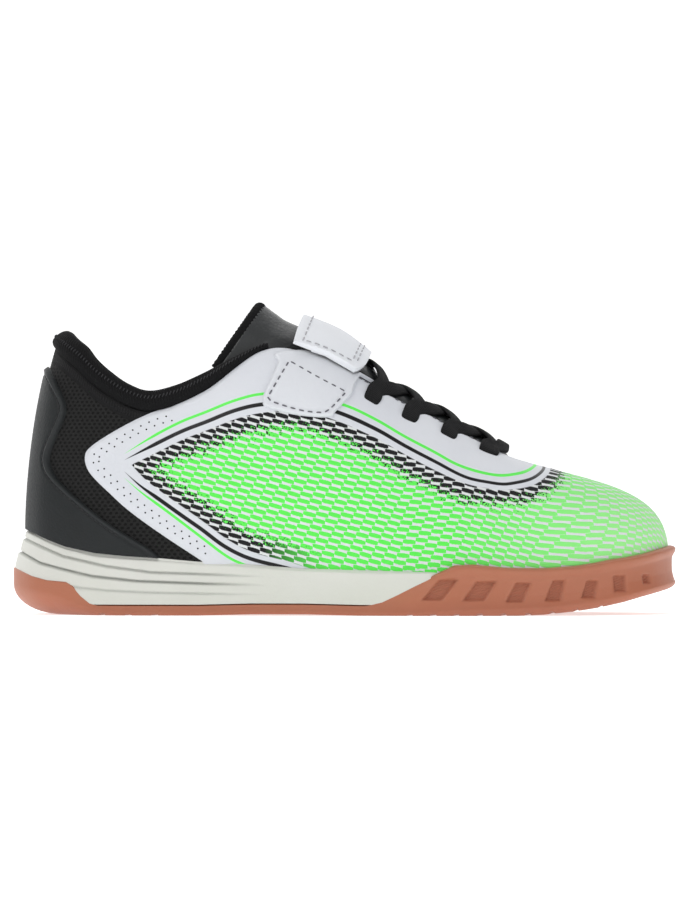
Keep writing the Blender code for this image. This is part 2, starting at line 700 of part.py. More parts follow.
def make_collar(finish):
    side = [k / 2 for k in range(0, 13)] + [COLLAR_END]
    path = np.array([LOOP - r for r in side[:0:-1]] + side)
    rings = []
    for u in path:
        row = min(u, LOOP - u)
        u = np.array(u)
        top = upper_surface(u, np.array(1.0))
        rim = top - upper_surface(u, np.array(.97))
        rim = rim / np.linalg.norm(rim)
        out = outward(TOP_EDGE, u) + upper_normal(u, np.array(1.0))
        out = out / np.linalg.norm(out)
        up = rim + np.array([0.0, 0.0, 1.0])
        up = up / np.linalg.norm(up)
        rise = COLLAR_HEIGHT * float(shares(COLLAR_RISE, row))
        thick = max(COLLAR_PADDING * float(shares(COLLAR_THICK, row)), WALL + COLLAR_SEAT + COLLAR_LINING)
        length = 3 * np.linalg.norm(top - plan(u)) * around(UPPER, u)
        tail = COLLAR_TAIL * float(np.interp(row, [4.5, COLLAR_END], [1, .35]))
        ring = [top + rim * 2 * GAP]
        bulge = COLLAR_BULGE * min(1, 1.6 * rise / COLLAR_HEIGHT)
        ring.append(top + out * bulge + up * (GAP + rise * .38))
        for inward, height in COLLAR_ROLL:
            ring.append(top - out * thick * inward + up * (GAP + rise * height))
        for depth, back in ((.30, 1.0), (.65, .75), (1.0, .35)):
            v = 1 - tail * depth / length
            padding = max((thick - WALL - COLLAR_SEAT) * back, COLLAR_LINING)
            ring.append(upper_offset(u, v, -WALL - COLLAR_SEAT - padding))
        ring.append(upper_offset(u, 1 - tail / length, -WALL - COLLAR_SEAT))
        ring.append(upper_offset(u, 1 - tail * .5 / length, -WALL - COLLAR_SEAT))
        ring.append(upper_offset(u, 1.0, -WALL - GAP) + rim * 2 * GAP)
        rings.append(np.array(ring))
    return tube("collar", rings, finish)


def make_counter(finish):
    """A band over the heel, cut to the counter's front edge."""
    side = [k / 2 for k in range(0, 12)]
    path = np.array([LOOP - r for r in side[:0:-1]] + side)
    foot = at_height(path % LOOP, midsole_top(path % LOOP) + 2 * GAP)
    columns = np.linspace(0, 1, 7)
    high = 0.93
    grid = [foot + (high - foot) * c for c in columns]
    outer = np.stack([upper_offset(path, v, GAP + COUNTER_THICKNESS) for v in grid], axis=1)
    inner = np.stack([upper_offset(path, v, GAP) for v in grid], axis=1)
    counter = slab("heel_counter", outer, inner, finish)
    rear = [Corner(-.1, .10), Corner(-.1, .950)]
    combine(counter, prism("counter_cutter", rear + COUNTER_FRONT, -BALL_WIDTH, BALL_WIDTH), "INTERSECT")
    return counter


def make_patch(finish):
    rows = np.arange(4.5, 9.6, 0.5)
    levels = np.linspace(.55, .985, 6)
    face = PANEL_STEP + GAP
    outer = np.stack([upper_offset(rows, v, face + PATCH_THICKNESS) for v in levels], axis=1)
    inner = np.stack([upper_offset(rows, v, face) for v in levels], axis=1)
    patch = slab("strap_base", outer, inner, finish)
    combine(patch, prism("patch_cutter", PATCH_OUTLINE, -BALL_WIDTH, 0), "INTERSECT")
    return patch


def tongue_depth(q):
    """How far the tongue's outer face lies under the instep: deeper below the eyestay."""
    return shares(TONGUE_TUCKS, np.abs(q)) * TONGUE_TUCK + WALL + GAP


def make_tongue(finish):
    across = np.array([-1.42, -1.2, -1.0, -.75, -.5, -.25, 0, .25, .5, .75, 1.0, 1.2, 1.42])
    places = np.array([1, .88, .71, .53, .35, .21, .07]) * TONGUE_LENGTH
    s, q = np.meshgrid(places, across, indexing="ij")
    outer = instep_offset(s, q, -tongue_depth(q))
    inner = instep_offset(s, q, -tongue_depth(q) - TONGUE_THICKNESS)
    narrow = np.array([1, .8, 1])
    nose = outer[0] * narrow + RIDGE * TONGUE_NOSE - RIDGE_UP * TONGUE_DIP
    nose_in = inner[0] * narrow + RIDGE * TONGUE_NOSE - RIDGE_UP * TONGUE_DIP / 2
    outer_rows = [nose] + list(outer)
    inner_rows = [nose_in] + list(inner)
    crown = instep(0.0, 0.0)
    for flap in FLAPS:
        tilt = math.radians(flap.tilt)
        down = np.array([-math.sin(tilt), 0, -math.cos(tilt)])
        middle = crown + np.array([-flap.back, 0, flap.up]) * TONGUE_REACH
        for rows, inset in ((outer_rows, 0), (inner_rows, TONGUE_THICKNESS)):
            turn = across / across[-1] * math.pi / 2
            half = flap.half * HALF_TOP["opening"] - inset
            ys = half * np.sin(turn)
            drop = (flap.drop * INSTEP_HEIGHT - inset * .4) * (1 - np.cos(turn)) + inset
            rows.append(middle + ys[:, None] * np.array([0, 1.0, 0]) + drop[:, None] * down)
    return slab("tongue", np.array(outer_rows), np.array(inner_rows), finish)


def strap_lift(q):
    """How far the strap's inner face stands off the instep, from crown to sides."""
    face = PANEL_STEP + GAP
    over_edge = face + 2 * GAP + max(PATCH_THICKNESS, LACE_THICKNESS)
    return np.interp(np.abs(q), [0, .5, .95, 1.5, 2.4], [STRAP_HUG, STRAP_HUG * 2.5, over_edge, over_edge, face])


def make_strap(finish):
    across = np.array([-1.12, -.95, -.75, -.5, -.25, 0, .25, .5, .75, .95, 1.2, 1.6, 2.0, 2.4, 2.8])
    places = STRAP_REAR + STRAP_WIDTH * np.linspace(0, 1, 5)
    s, q = np.meshgrid(places, across, indexing="ij")
    lift = strap_lift(q)
    outer = instep_offset(s, q, lift + STRAP_THICKNESS)
    inner = instep_offset(s, q, lift)
    return slab("strap", outer, inner, finish)


def lace_run(name, start, end, hump, finish, hidden=False):
    """One flat strand of lace from one slot to another, over the tongue."""
    t = np.linspace(0, 1, 9)
    s = start[0] + (end[0] - start[0]) * t
    q = start[1] + (end[1] - start[1]) * t
    face = PANEL_STEP + GAP
    lift = np.interp(np.abs(q), [0, .7, 1.0, 1.5], [-WALL + GAP, -WALL + 2 * GAP, face + GAP, face + GAP])
    lift = lift + hump * np.sin(t * math.pi)
    centre = instep_offset(s, q, lift)
    raised = instep_offset(s, q, lift + LACE_THICKNESS)
    travel = np.gradient(centre, axis=0)
    normal = raised - centre
    aside = np.cross(normal, travel)
    aside = aside / np.linalg.norm(aside, axis=-1, keepdims=True) * LACE_WIDTH / 2
    outer = np.stack([raised - aside, raised + aside], axis=1)
    inner = np.stack([centre - aside, centre + aside], axis=1)
    return slab(name, outer, inner, finish, hidden)


def make_laces(finish):
    slot_q = 1 + SLOT_INSET / ACROSS_UNIT
    for index in range(SLOT_PAIRS - 1):
        rear = slot_place(index) + LACE_STEP * SLOT_PITCH
        front = slot_place(index + 1) - LACE_STEP * SLOT_PITCH
        lateral_rear = .85 if index == 0 else slot_q
        under = lace_run("lace_crossing_%d" % (index + 1), (front, slot_q), (rear, -lateral_rear), 0, finish)
        over = lace_run("lace_over_%d" % (index + 1), (front, -slot_q), (rear, slot_q),
                        LACE_THICKNESS * (.7 if index else .2), None, hidden=True)
        combine(under, over, "UNION")
    last = slot_place(SLOT_PAIRS - 1) + BAR_STEP * SLOT_PITCH
    lace_run("lace_bar", (last, -slot_q), (last, slot_q), 0, finish)


def make_shoe():
    for old in list(bpy.data.objects):
        bpy.data.objects.remove(old, do_unlink=True)
    gum = material("gum_rubber", (.73, .45, .33), .55)
    foam = material("pale_foam", (.81, .82, .79), .60)
    mesh_cloth = material("printed_mesh", (.45, .90, .40), .75)
    black_synthetic = material("black_synthetic", (.13, .14, .14), .45)
    black_cloth = material("black_knit", (.07, .07, .07), .90)
    white_synthetic = material("white_synthetic", (.84, .85, .87), .50)
    lining = material("sock_lining", (.20, .20, .20), .90)
    make_outsole(gum)
    make_midsole(foam)
    make_upper(mesh_cloth)
    make_insole(lining)
    make_tongue(black_synthetic)
    make_counter(black_synthetic)
    make_collar(black_cloth)
    make_patch(white_synthetic)
    make_strap(white_synthetic)
    make_laces(black_cloth)


make_shoe()
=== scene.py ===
"""Looks of a child's indoor soccer shoe for the right foot.

Metres. X runs from heel to toe, Y to the medial side and Z up; the sole stands on Z = 0.
"""
import math
from collections import namedtuple

import bmesh
import bpy
import numpy as np
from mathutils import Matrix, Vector


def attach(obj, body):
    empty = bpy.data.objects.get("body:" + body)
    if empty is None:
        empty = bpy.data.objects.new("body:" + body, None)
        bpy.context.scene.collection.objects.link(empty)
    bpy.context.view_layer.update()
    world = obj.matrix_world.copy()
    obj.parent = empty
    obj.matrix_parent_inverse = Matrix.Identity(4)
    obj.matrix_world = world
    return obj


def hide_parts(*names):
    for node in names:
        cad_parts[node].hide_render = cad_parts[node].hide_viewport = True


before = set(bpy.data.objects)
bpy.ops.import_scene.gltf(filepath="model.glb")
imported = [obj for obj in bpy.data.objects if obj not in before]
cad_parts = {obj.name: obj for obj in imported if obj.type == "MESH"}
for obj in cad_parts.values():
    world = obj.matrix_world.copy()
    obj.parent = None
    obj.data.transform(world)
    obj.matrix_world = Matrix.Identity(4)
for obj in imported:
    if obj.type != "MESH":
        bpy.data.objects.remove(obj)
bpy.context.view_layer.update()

bl_info = {
    "name": "Indoor Soccer Shoe",
    "version": (1, 0, 0),
    "blender": (4, 5, 0),
    "location": "3D View > Sidebar > Shoe",
    "description": "Builds the finished surfaces of an indoor soccer shoe around its solids",
    "category": "Object",
}

WELD = 0.000002
MM = 0.001
BODY = "root"

# Driving sizes, the same as the solids'
LENGTH = 0.207
BALL_WIDTH = 0.078
WAIST_WIDTH = 0.060
HEEL_WIDTH = 0.0575
HEEL_HEIGHT = 0.083
QUARTER_HEIGHT = 0.0631
INSTEP_HEIGHT = 0.0832
VAMP_HEIGHT = 0.0478
OPENING_WIDTH = 0.0405
THROAT_WIDTH = 0.0225
TREAD_BASE = 0.0031
TREAD_DEPTH = 0.0010
GUM_WALL = 0.0127
TOE_SPRING = 0.0075
WAIST_LIFT = 0.0004
MIDSOLE_HEEL = 0.0090
MIDSOLE_WALL = 0.0023
HEEL_COLLAR_RISE = 0.0264
HEEL_FLARE = 0.0030
HEEL_BEVEL = 0.0150
HEEL_BEVEL_RISE = 0.0094
SOLE_MARGIN = 0.0056
GUM_RELIEF = 0.0011
INSOLE_THICKNESS = 0.0032
RECESS_DEPTH = 0.0011
GROOVE_WIDTH = 0.0017
GROOVE_SWEEP = 0.0060
WALL = 0.0015
PANEL_STEP = 0.0007
COUNTER_THICKNESS = 0.0012
PATCH_THICKNESS = 0.0010
CROWN_HEIGHT = 0.0104
RIDGE_LENGTH = 0.0740
COLLAR_HEIGHT = 0.0080
COLLAR_BULGE = 0.0012
COLLAR_PADDING = 0.0062
COLLAR_TAIL = 0.0150
COLLAR_SEAT = 0.0011
COLLAR_END = 6.15
TONGUE_LENGTH = 0.0680
TONGUE_REACH = 0.0175
TONGUE_THICKNESS = 0.0036
TONGUE_TUCK = 0.0012
TONGUE_NOSE = 0.0045
TONGUE_DIP = 0.0022
STRAP_WIDTH = 0.0230
STRAP_THICKNESS = 0.0024
STRAP_REAR = -0.0056
LACE_THICKNESS = 0.0011
FIRST_SLOT = 0.0140
SLOT_PITCH = 0.0131
SLOT_PAIRS = 5
SLOT_INSET = 0.0046
GAP = 0.0003

# Fine parts that only the finished surfaces have; LACE_REACH goes on past the solids' laces
UPPER_STATIONS = 480
UPPER_LEVELS = 92
LINING_LEVELS = 26
HOLE_ROWS = (0.0026, 0.0043)
HOLE_RADIUS = 0.00029
HOLES_FROM = 0.0185
SLOT_CLEAR = 0.0034
EYESTAY_SEAM_Q = 1.13
COUNTER_ROUND = 0.0009
PIPING_INSET = 0.0007
PIPING_WIDTH = 0.00042
PIPING_RISE = 0.00030
COUNTER_SEAM_INSET = 0.00155
COUNTER_SEAM_WIDTH = 0.00028
COUNTER_SEAM_DEPTH = 0.00034
PATCH_ROUND = 0.0007
PATCH_SEAM_INSET = 0.0021
PATCH_SEAM_WIDTH = 0.0008
PATCH_SEAM_DEPTH = 0.00016
BINDING_RIB = 0.0013
ZIGZAG_LINES = (0.115, 0.150)
ZIGZAG_PITCH = 0.00115
LACE_HUMP = 0.0009
LACE_REACH = 0.0056
LACE_SLANT = 0.0026
HIDDEN_LACE_END = 0.85
STRAP_SKEW = 0.22
RECESS_SPREAD = 0.0004
SOLE_STATIONS = 420
MIDSOLE_STATIONS = 360
MIDSOLE_LEVELS = 84
INSOLE_STATIONS = 240
LEATHER_GRAIN = 0.0010
COUNTER_SEAM_LOW = 0.024
COUNTER_SEAM_HIGH = 0.076
STRAP_FRONT = STRAP_REAR + STRAP_WIDTH
# Threads, as pitch, share of the pitch that shows and radius; two take their pitch from the sizes
EYESTAY_THREAD = (.0021, .6, .0002)
COUNTER_THREAD = (.0019, .72, .00020)
ZIGZAG_THREAD = (.02, .92, .00023)
PATCH_THREAD = (.62, .00024)
STRAP_THREAD = (.62, .00022)
# The strap's short seams, by place across the throat, and its long ones, by place along the
# ridge and the places across that they run between
STRAP_END_SEAMS = (-.93, 2.62)
STRAP_EDGE_SEAMS = ((STRAP_REAR + .0026, (-.98, 2.6)), (STRAP_FRONT - .0028, (-.9, 2.6)),
                    (STRAP_FRONT - .0042, (-.9, -.2)))

HALF_WIDTH = {"heel": HEEL_WIDTH / 2, "waist": WAIST_WIDTH / 2, "ball": BALL_WIDTH / 2}
HALF_TOP = {"opening": OPENING_WIDTH / 2, "throat": THROAT_WIDTH / 2}
TOP_HEIGHT = {"heel": HEEL_HEIGHT, "quarter": QUARTER_HEIGHT,
              "instep": INSTEP_HEIGHT, "vamp": VAMP_HEIGHT}

# One row for each section from the heel centre to the toe centre. The outline is that of the
# sole; top is the upper's top edge. Widths are shares of the half width that the row names.
Section = namedtuple("Section", "along lateral medial width top_along top_lateral top_medial top_width "
                                "rise height inset lean lower slope upper")
SECTIONS = [Section(*row) for row in (
    (.000, -.070, -.070, "heel", .063, -.079, -.079, "opening", 1.00, "heel", 1.00, 6, .27, 73, .30),
    (.024, -.557, .417, "heel", .073, -.514, .356, "opening", .973, "heel", .965, 7, .30, 75, .32),
    (.065, -.835, .689, "heel", .101, -.820, .672, "opening", .910, "heel", .93, 9, .34, 77, .34),
    (.123, -1.016, .863, "heel", .140, -.983, .849, "opening", 1.087, "quarter", .895, 10, .38, 78, .36),
    (.200, -1.078, .925, "heel", .205, -1.057, .928, "opening", 1.00, "quarter", .86, 10, .38, 76, .34),
    (.297, -1.053, .873, "waist", .287, -1.007, .919, "opening", 1.094, "quarter", .82, 7, .36, 66, .30),
    (.399, -1.080, .853, "waist", .374, -.904, .854, "opening", .982, "instep", .785, 2, .33, 50, .25),
    (.495, -1.153, .953, "waist", .442, -1.351, 1.298, "throat", .977, "instep", .75, -1, .31, 41, .23),
    (.587, -.959, .862, "ball", .514, -1.120, 1.102, "throat", .894, "instep", .715, -2, .30, 36, .23),
    (.664, -1.000, .959, "ball", .572, -.996, 1.013, "throat", .810, "instep", .68, 0, .28, 33, .26),
    (.737, -.979, 1.00, "ball", .626, -.907, .960, "throat", .744, "instep", .66, 2, .27, 30, .32),
    (.809, -.887, .964, "ball", .671, -.827, .907, "throat", 1.188, "vamp", .66, 3, .28, 27, .37),
    (.877, -.750, .890, "ball", .710, -.720, .818, "throat", 1.103, "vamp", .643, 4, .33, 24, .41),
    (.935, -.560, .755, "ball", .739, -.498, .622, "throat", 1.038, "vamp", .643, 6, .39, 21, .44),
    (.977, -.285, .540, "ball", .755, -.231, .373, "throat", 1.008, "vamp", .625, 8, .43, 19, .46),
    (1.00, .128, .128, "ball", .761, .089, .089, "throat", 1.00, "vamp", .607, 9, .45, 18, .47))]
TOE = len(SECTIONS) - 1
LOOP = 2 * TOE

# Shares of the size that each list is for, as (place along the sole, share).
GROUND = [(.00, 0), (.28, 0), (.36, -1), (.44, -1), (.52, 0), (.76, 0), (.80, .04), (.846, .16),
          (.882, .30), (.927, .54), (.953, .72), (1.0, 1.0)]
GUM_TOP = [(.000, .913), (.029, .709), (.052, .614), (.082, .575), (.093, .465), (.104, .244),
           (.118, .055), (.130, 0), (.531, 0), (.555, .094), (.581, .307), (.606, .528), (.630, .732),
           (.664, .976), (.693, 1.0), (.738, .929), (.810, .878), (.857, .858), (.905, .866),
           (.953, .811), (1.0, .843)]
MIDSOLE_TOP = [(.000, 1.0), (.038, .894), (.074, .799), (.121, .727), (.167, .693), (.212, .670),
               (.281, .621), (.343, .600), (.432, .545), (.506, .527), (.581, .511), (.640, .500)]
MIDSOLE_END = .665
MIDSOLE_DEPTH = [(.00, 1.0), (.21, .88), (.40, .69), (.60, .54), (.74, .46), (.84, .38), (1.0, .30)]
HIDDEN_LIP = [(.00, 1.0), (.08, .92), (.50, .83), (.58, .70), (.64, .39), (.67, .22), (.70, 0), (1.0, 0)]
FLARE = [(.00, 1.0), (.10, .85), (.20, .75), (.50, .55), (.66, .4), (1.0, .3)]
BEVEL = [(.00, 1.0), (.06, .75), (.12, .30), (.17, .09), (.60, .09), (.70, .15), (.90, .20), (1.0, .30)]
BEVEL_RISE = [(.00, 1.0), (.06, .745), (.12, .255), (.17, .128), (.60, .128), (.70, .234), (1.0, .277)]
RELIEF = [(.00, 0), (.60, 0), (.68, 1), (1.0, 1)]
# How far the toe wall is set back, from its foot to its top, as (share of the height, share).
TOE_WALL = [(0, .0), (.10, .45), (.30, .95), (.45, 1.0), (.60, 1.0), (.70, .92), (.76, .60), (.82, .22),
            (.88, .05), (.93, .0), (.97, .12), (1.0, .55)]
# The same round the opening, by station.
COLLAR_RISE = [(.00, .70), (1.0, .825), (2.0, 1.0), (3.0, .95), (4.0, .825), (5.0, .775), (6.0, .325),
               (6.6, .175)]
# The roll's own section, as shares of its thickness and of its rise.
COLLAR_ROLL = [(.10, .82), (.48, 1.0), (.86, .80), (1.0, .22)]
# The padding's thickness, by station.
COLLAR_THICK = [(.00, 1.0), (3.0, .9), (4.0, .70), (5.0, .42), (6.0, .25), (6.6, .22)]
# The instep's crown, by share of the ridge's length.
CROWN = [(-.19, 1.0), (0, .894), (.19, .712), (.405, .50), (.608, .423), (1.0, .308)]
# How far the tongue is tucked in, from its middle to its sides.
TONGUE_TUCKS = [(0, 0), (.75, 0), (1.0, 1.0), (1.2, .83), (1.45, .58)]

# Outlines drawn on the side view, as shares of the length and of the instep height.
COUNTER_FRONT = [(.050, .950), (.082, .791), (.085, .764), (.064, .642), (.054, .578), (.065, .511),
                 (.098, .440), (.143, .343), (.190, .276), (.232, .215), (.240, .10)]
PATCH_OUTLINE = [(.405, 1.04), (.398, .929), (.379, .825), (.377, .794), (.383, .772), (.421, .746),
                 (.462, .734), (.480, .738), (.484, .751), (.497, .787), (.509, .821), (.512, .850),
                 (.524, .899), (.540, 1.04)]

# Slanted recesses in the gum wall, from the rear: foot and head as rear and front shares.
Recess = namedtuple("Recess", "foot_rear foot_front foot_up head_rear head_front head_up")
RECESSES = [
    Recess(.617, .642, .060, .642, .665, .134),
    Recess(.678, .705, .058, .698, .723, .127),
    Recess(.742, .763, .052, .757, .775, .122),
    Recess(.801, .820, .056, .813, .826, .130),
    Recess(.856, .871, .066, .864, .876, .129),
    Recess(.906, .919, .089, .904, .918, .147),
]
# A small mark at the toe that only the finished surface has.
TOE_RECESS = Recess(.950, .957, .118, .949, .955, .150)
# The tread's grooves along the sole.
GROOVE_PLACES = [.125, .165, .205, .590, .625, .660, .695, .730, .765, .800, .835, .870]

# The tongue's free end: places over the crown, tilt in degrees and size of each arch.
Flap = namedtuple("Flap", "back up tilt half drop")
FLAPS = [Flap(.543, .086, 27, .69, .19), Flap(.771, .229, 31, .69, .235), Flap(1.0, .40, 35, .70, .285)]


def shares(table, places):
    """Read a table of shares at these places, in straight steps."""
    return np.interp(places, [row[0] for row in table], [row[1] for row in table])


def around(values, u):
    """A smooth closed curve through one value for each station, read at u."""
    u = np.asarray(u, dtype=float)
    first = np.floor(u).astype(int)
    t = u - first
    p0, p1, p2, p3 = (values[(first + k) % LOOP] for k in (-1, 0, 1, 2))
    if values.ndim > 1:
        t = t[..., None]
    return p1 + 0.5 * t * (p2 - p0 + t * (2 * p0 - 5 * p1 + 4 * p2 - p3 + t * (3 * (p1 - p2) + p3 - p0)))


def loop_of(lateral, medial):
    """Station values round the shoe: out along the lateral side, back along the medial one."""
    return np.array([lateral(row) for row in SECTIONS] + [medial(row) for row in SECTIONS[-2:0:-1]])


def x_of(share):
    return (share - 0.5) * LENGTH


OUTLINE = loop_of(lambda r: (x_of(r.along), r.lateral * HALF_WIDTH[r.width]),
                  lambda r: (x_of(r.along), r.medial * HALF_WIDTH[r.width]))
TOP_EDGE = loop_of(
    lambda r: (x_of(r.top_along), r.top_lateral * HALF_TOP[r.top_width], r.rise * TOP_HEIGHT[r.height]),
    lambda r: (x_of(r.top_along), r.top_medial * HALF_TOP[r.top_width], r.rise * TOP_HEIGHT[r.height]))
INSET = loop_of(lambda r: r.inset * SOLE_MARGIN, lambda r: r.inset * SOLE_MARGIN)
LEAN = loop_of(lambda r: math.radians(r.lean), lambda r: math.radians(r.lean))
SLOPE = loop_of(lambda r: math.radians(r.slope), lambda r: math.radians(r.slope))
LOWER = loop_of(lambda r: r.lower, lambda r: r.lower)
UPPER = loop_of(lambda r: r.upper, lambda r: r.upper)
SIDE_STEP = 0.01


def outward(curve, u):
    """The level direction that points out of a closed curve at u."""
    travel = around(curve, u + SIDE_STEP)[..., :2] - around(curve, u - SIDE_STEP)[..., :2]
    travel = travel / np.linalg.norm(travel, axis=-1, keepdims=True)
    return np.stack([travel[..., 1], -travel[..., 0], np.zeros_like(travel[..., 0])], axis=-1)


def plan(u):
    """The sole's outline at u, on Z = 0."""
    flat = around(OUTLINE, u)
    return np.stack([flat[..., 0], flat[..., 1], np.zeros_like(flat[..., 0])], axis=-1)


def place(u):
    """How far along the shoe a station of the outline is, from 0 to 1."""
    return plan(u)[..., 0] / LENGTH + 0.5


def ground(u):
    table = shares(GROUND, place(u))
    return np.where(table < 0, -table * WAIST_LIFT, table * TOE_SPRING)


def gum_floor(u):
    return ground(u) + TREAD_BASE


def gum_top(u):
    return gum_floor(u) + shares(GUM_TOP, place(u)) * GUM_WALL


def footbed(u):
    return gum_floor(u) + GAP + shares(MIDSOLE_DEPTH, place(u)) * MIDSOLE_HEEL


def midsole_top(u):
    along = place(u)
    top = shares(MIDSOLE_TOP, along) * HEEL_COLLAR_RISE
    fade = np.clip((MIDSOLE_END - along) / (MIDSOLE_END - MIDSOLE_TOP[-1][0]), 0, 1)
    return footbed(u) + (top - footbed(u)) * fade


def upper_surface(u, v):
    """The upper's outer face: u goes round the shoe, v from the sole edge to the top edge."""
    u = np.asarray(u, dtype=float)
    v = np.broadcast_to(np.asarray(v, dtype=float), u.shape)[..., None]
    out = outward(OUTLINE, u)
    up = np.array([0.0, 0.0, 1.0])
    foot = plan(u) - out * around(INSET, u)[..., None] + up * (footbed(u) + GAP)[..., None]
    top = around(TOP_EDGE, u)
    reach = np.linalg.norm(top - foot, axis=-1, keepdims=True)
    lean = around(LEAN, u)[..., None]
    slope = around(SLOPE, u)[..., None]
    low = foot + (out * np.sin(lean) + up * np.cos(lean)) * reach * around(LOWER, u)[..., None]
    fall = outward(TOP_EDGE, u) * np.cos(slope) - up * np.sin(slope)
    high = top + fall * reach * around(UPPER, u)[..., None]
    w = 1 - v
    return w ** 3 * foot + 3 * w * w * v * low + 3 * w * v * v * high + v ** 3 * top


def upper_normal(u, v):
    step = 0.004
    high = np.minimum(v + step, 1.0)
    low = np.maximum(v - step, 0.0)
    along = upper_surface(u + step, v) - upper_surface(u - step, v)
    rise = upper_surface(u, high) - upper_surface(u, low)
    normal = np.cross(along, rise)
    return normal / np.linalg.norm(normal, axis=-1, keepdims=True)


def upper_offset(u, v, distance):
    """A point off the upper's outer face: out of the shoe, or into it where negative."""
    u = np.asarray(u, dtype=float)
    v = np.broadcast_to(np.asarray(v, dtype=float), u.shape)
    return upper_surface(u, v) + upper_normal(u, v) * distance


def at_height(u, height, most=0.8):
    """Where each station's line on the upper reaches this height, as v."""
    low = np.zeros_like(u, dtype=float)
    high = np.full_like(low, most)
    for _ in range(30):
        middle = (low + high) / 2
        below = upper_surface(u, middle)[..., 2] < height
        low = np.where(below, middle, low)
        high = np.where(below, high, middle)
    return (low + high) / 2


def beside_upper(u, height, distance):
    """A point level with the upper's outer face at this height, this far outside it."""
    point = upper_surface(u, at_height(u, height))
    point = point + outward(OUTLINE, u) * np.asarray(distance)[..., None]
    point[..., 2] = height
    return point


def beside_outline(u, height, distance):
    """A point level with the sole's outline at this height, this far outside it."""
    point = plan(u) + outward(OUTLINE, u) * np.asarray(distance)[..., None]
    point[..., 2] = height
    return point


THROAT_TOP = 7.0
CREST = (around(TOP_EDGE, THROAT_TOP) + around(TOP_EDGE, LOOP - THROAT_TOP)) / 2
RIDGE = around(TOP_EDGE, TOE) - CREST
RIDGE[1] = 0.0
RIDGE = RIDGE / np.linalg.norm(RIDGE)
RIDGE_UP = np.array([-RIDGE[2], 0.0, RIDGE[0]])
ACROSS_UNIT = 0.010
BRIDGE_SHARE = 0.75


def throat_side(side, s, reach):
    """A point on one side of the throat, s along the ridge and reach below the edge."""
    rear = np.full_like(s, 4.0)
    front = np.full_like(s, float(TOE))
    for _ in range(22):
        middle = (rear + front) / 2
        point = throat_point(side, middle, reach)
        behind = (point - CREST) @ RIDGE < s
        rear = np.where(behind, middle, rear)
        front = np.where(behind, front, middle)
    return throat_point(side, (rear + front) / 2, reach)


def throat_point(side, row, reach):
    """The upper's face at a station of one side, reach below its top edge."""
    u = row if side < 0 else LOOP - row
    top = around(TOP_EDGE, u)
    foot = plan(u)
    speed = 3 * np.linalg.norm(top - foot, axis=-1) * around(UPPER, u)
    return upper_surface(u, 1 - reach / speed)


def instep(s, q):
    """The instep as if it were whole: s runs down the ridge, q across, -1 to 1 over the throat."""
    s, q = np.broadcast_arrays(np.asarray(s, dtype=float), np.asarray(q, dtype=float))
    reach = np.maximum(np.abs(q) - 1, 0) * ACROSS_UNIT
    lateral = throat_side(-1, s, np.where(q < 0, reach, 0))
    medial = throat_side(1, s, np.where(q > 0, reach, 0))
    half = (medial - lateral) / 2
    lift = shares(CROWN, s / RIDGE_LENGTH)[..., None] * CROWN_HEIGHT / BRIDGE_SHARE
    left = lateral + half * 0.45 + RIDGE_UP * lift
    right = medial - half * 0.45 + RIDGE_UP * lift
    t = ((np.clip(q, -1, 1) + 1) / 2)[..., None]
    w = 1 - t
    bridge = w ** 3 * lateral + 3 * w * w * t * left + 3 * w * t * t * right + t ** 3 * medial
    beyond = np.where((q < 0)[..., None], lateral, medial)
    return np.where((np.abs(q) > 1)[..., None], beyond, bridge)


def instep_frame(s, q):
    """Points on the instep and the directions that stand off it."""
    s, q = np.broadcast_arrays(np.asarray(s, dtype=float), np.asarray(q, dtype=float))
    step = 0.0006
    turn = 0.06
    around_s = np.stack([s, s + step, s - step, s, s])
    around_q = np.stack([q, q, q, q + turn, q - turn])
    point, ahead, behind, medial, lateral = instep(around_s, around_q)
    normal = np.cross(ahead - behind, medial - lateral)
    return point, normal / np.linalg.norm(normal, axis=-1, keepdims=True)


def instep_offset(s, q, distance):
    """A point off the instep: out of the shoe, or into it where negative."""
    point, normal = instep_frame(s, q)
    return point + normal * np.asarray(distance)[..., None]


def smooth_rows(points, factor, ring=False):
    """More rows of points on a smooth curve through the same ones."""
    count = len(points)
    spans = count if ring else count - 1
    t = np.linspace(0, spans, spans * factor + (0 if ring else 1), endpoint=not ring)
    first = np.minimum(np.floor(t).astype(int), spans - 1)
    w = (t - first).reshape((-1,) + (1,) * (points.ndim - 1))
    index = [(first + k) % count if ring else np.clip(first + k, 0, count - 1) for k in (-1, 0, 1, 2)]
    p0, p1, p2, p3 = (points[i] for i in index)
    return p1 + 0.5 * w * (p2 - p0 + w * (2 * p0 - 5 * p1 + 4 * p2 - p3 + w * (3 * (p1 - p2) + p3 - p0)))


def smooth_path(corners, factor=8):
    """A side-view path in metres through given points in millimetres."""
    return smooth_rows(np.array(corners, dtype=float), factor) * MM


def unit(vectors):
    return vectors / np.linalg.norm(vectors, axis=-1, keepdims=True)


def ease(value, low, high):
    """0 up to low and 1 from high, with a smooth rise between them."""
    t = np.clip((value - low) / (high - low), 0, 1)
    return t * t * (3 - 2 * t)


def distance_to(path, x, z):
    """How far side-view points lie from a broken line."""
    best = np.full(x.shape, 1.0)
    for (ax, az), (bx, bz) in zip(path[:-1], path[1:]):
        dx, dz = bx - ax, bz - az
        t = np.clip(((x - ax) * dx + (z - az) * dz) / (dx * dx + dz * dz + 1e-12), 0, 1)
        best = np.minimum(best, np.hypot(x - ax - t * dx, z - az - t * dz))
    return best


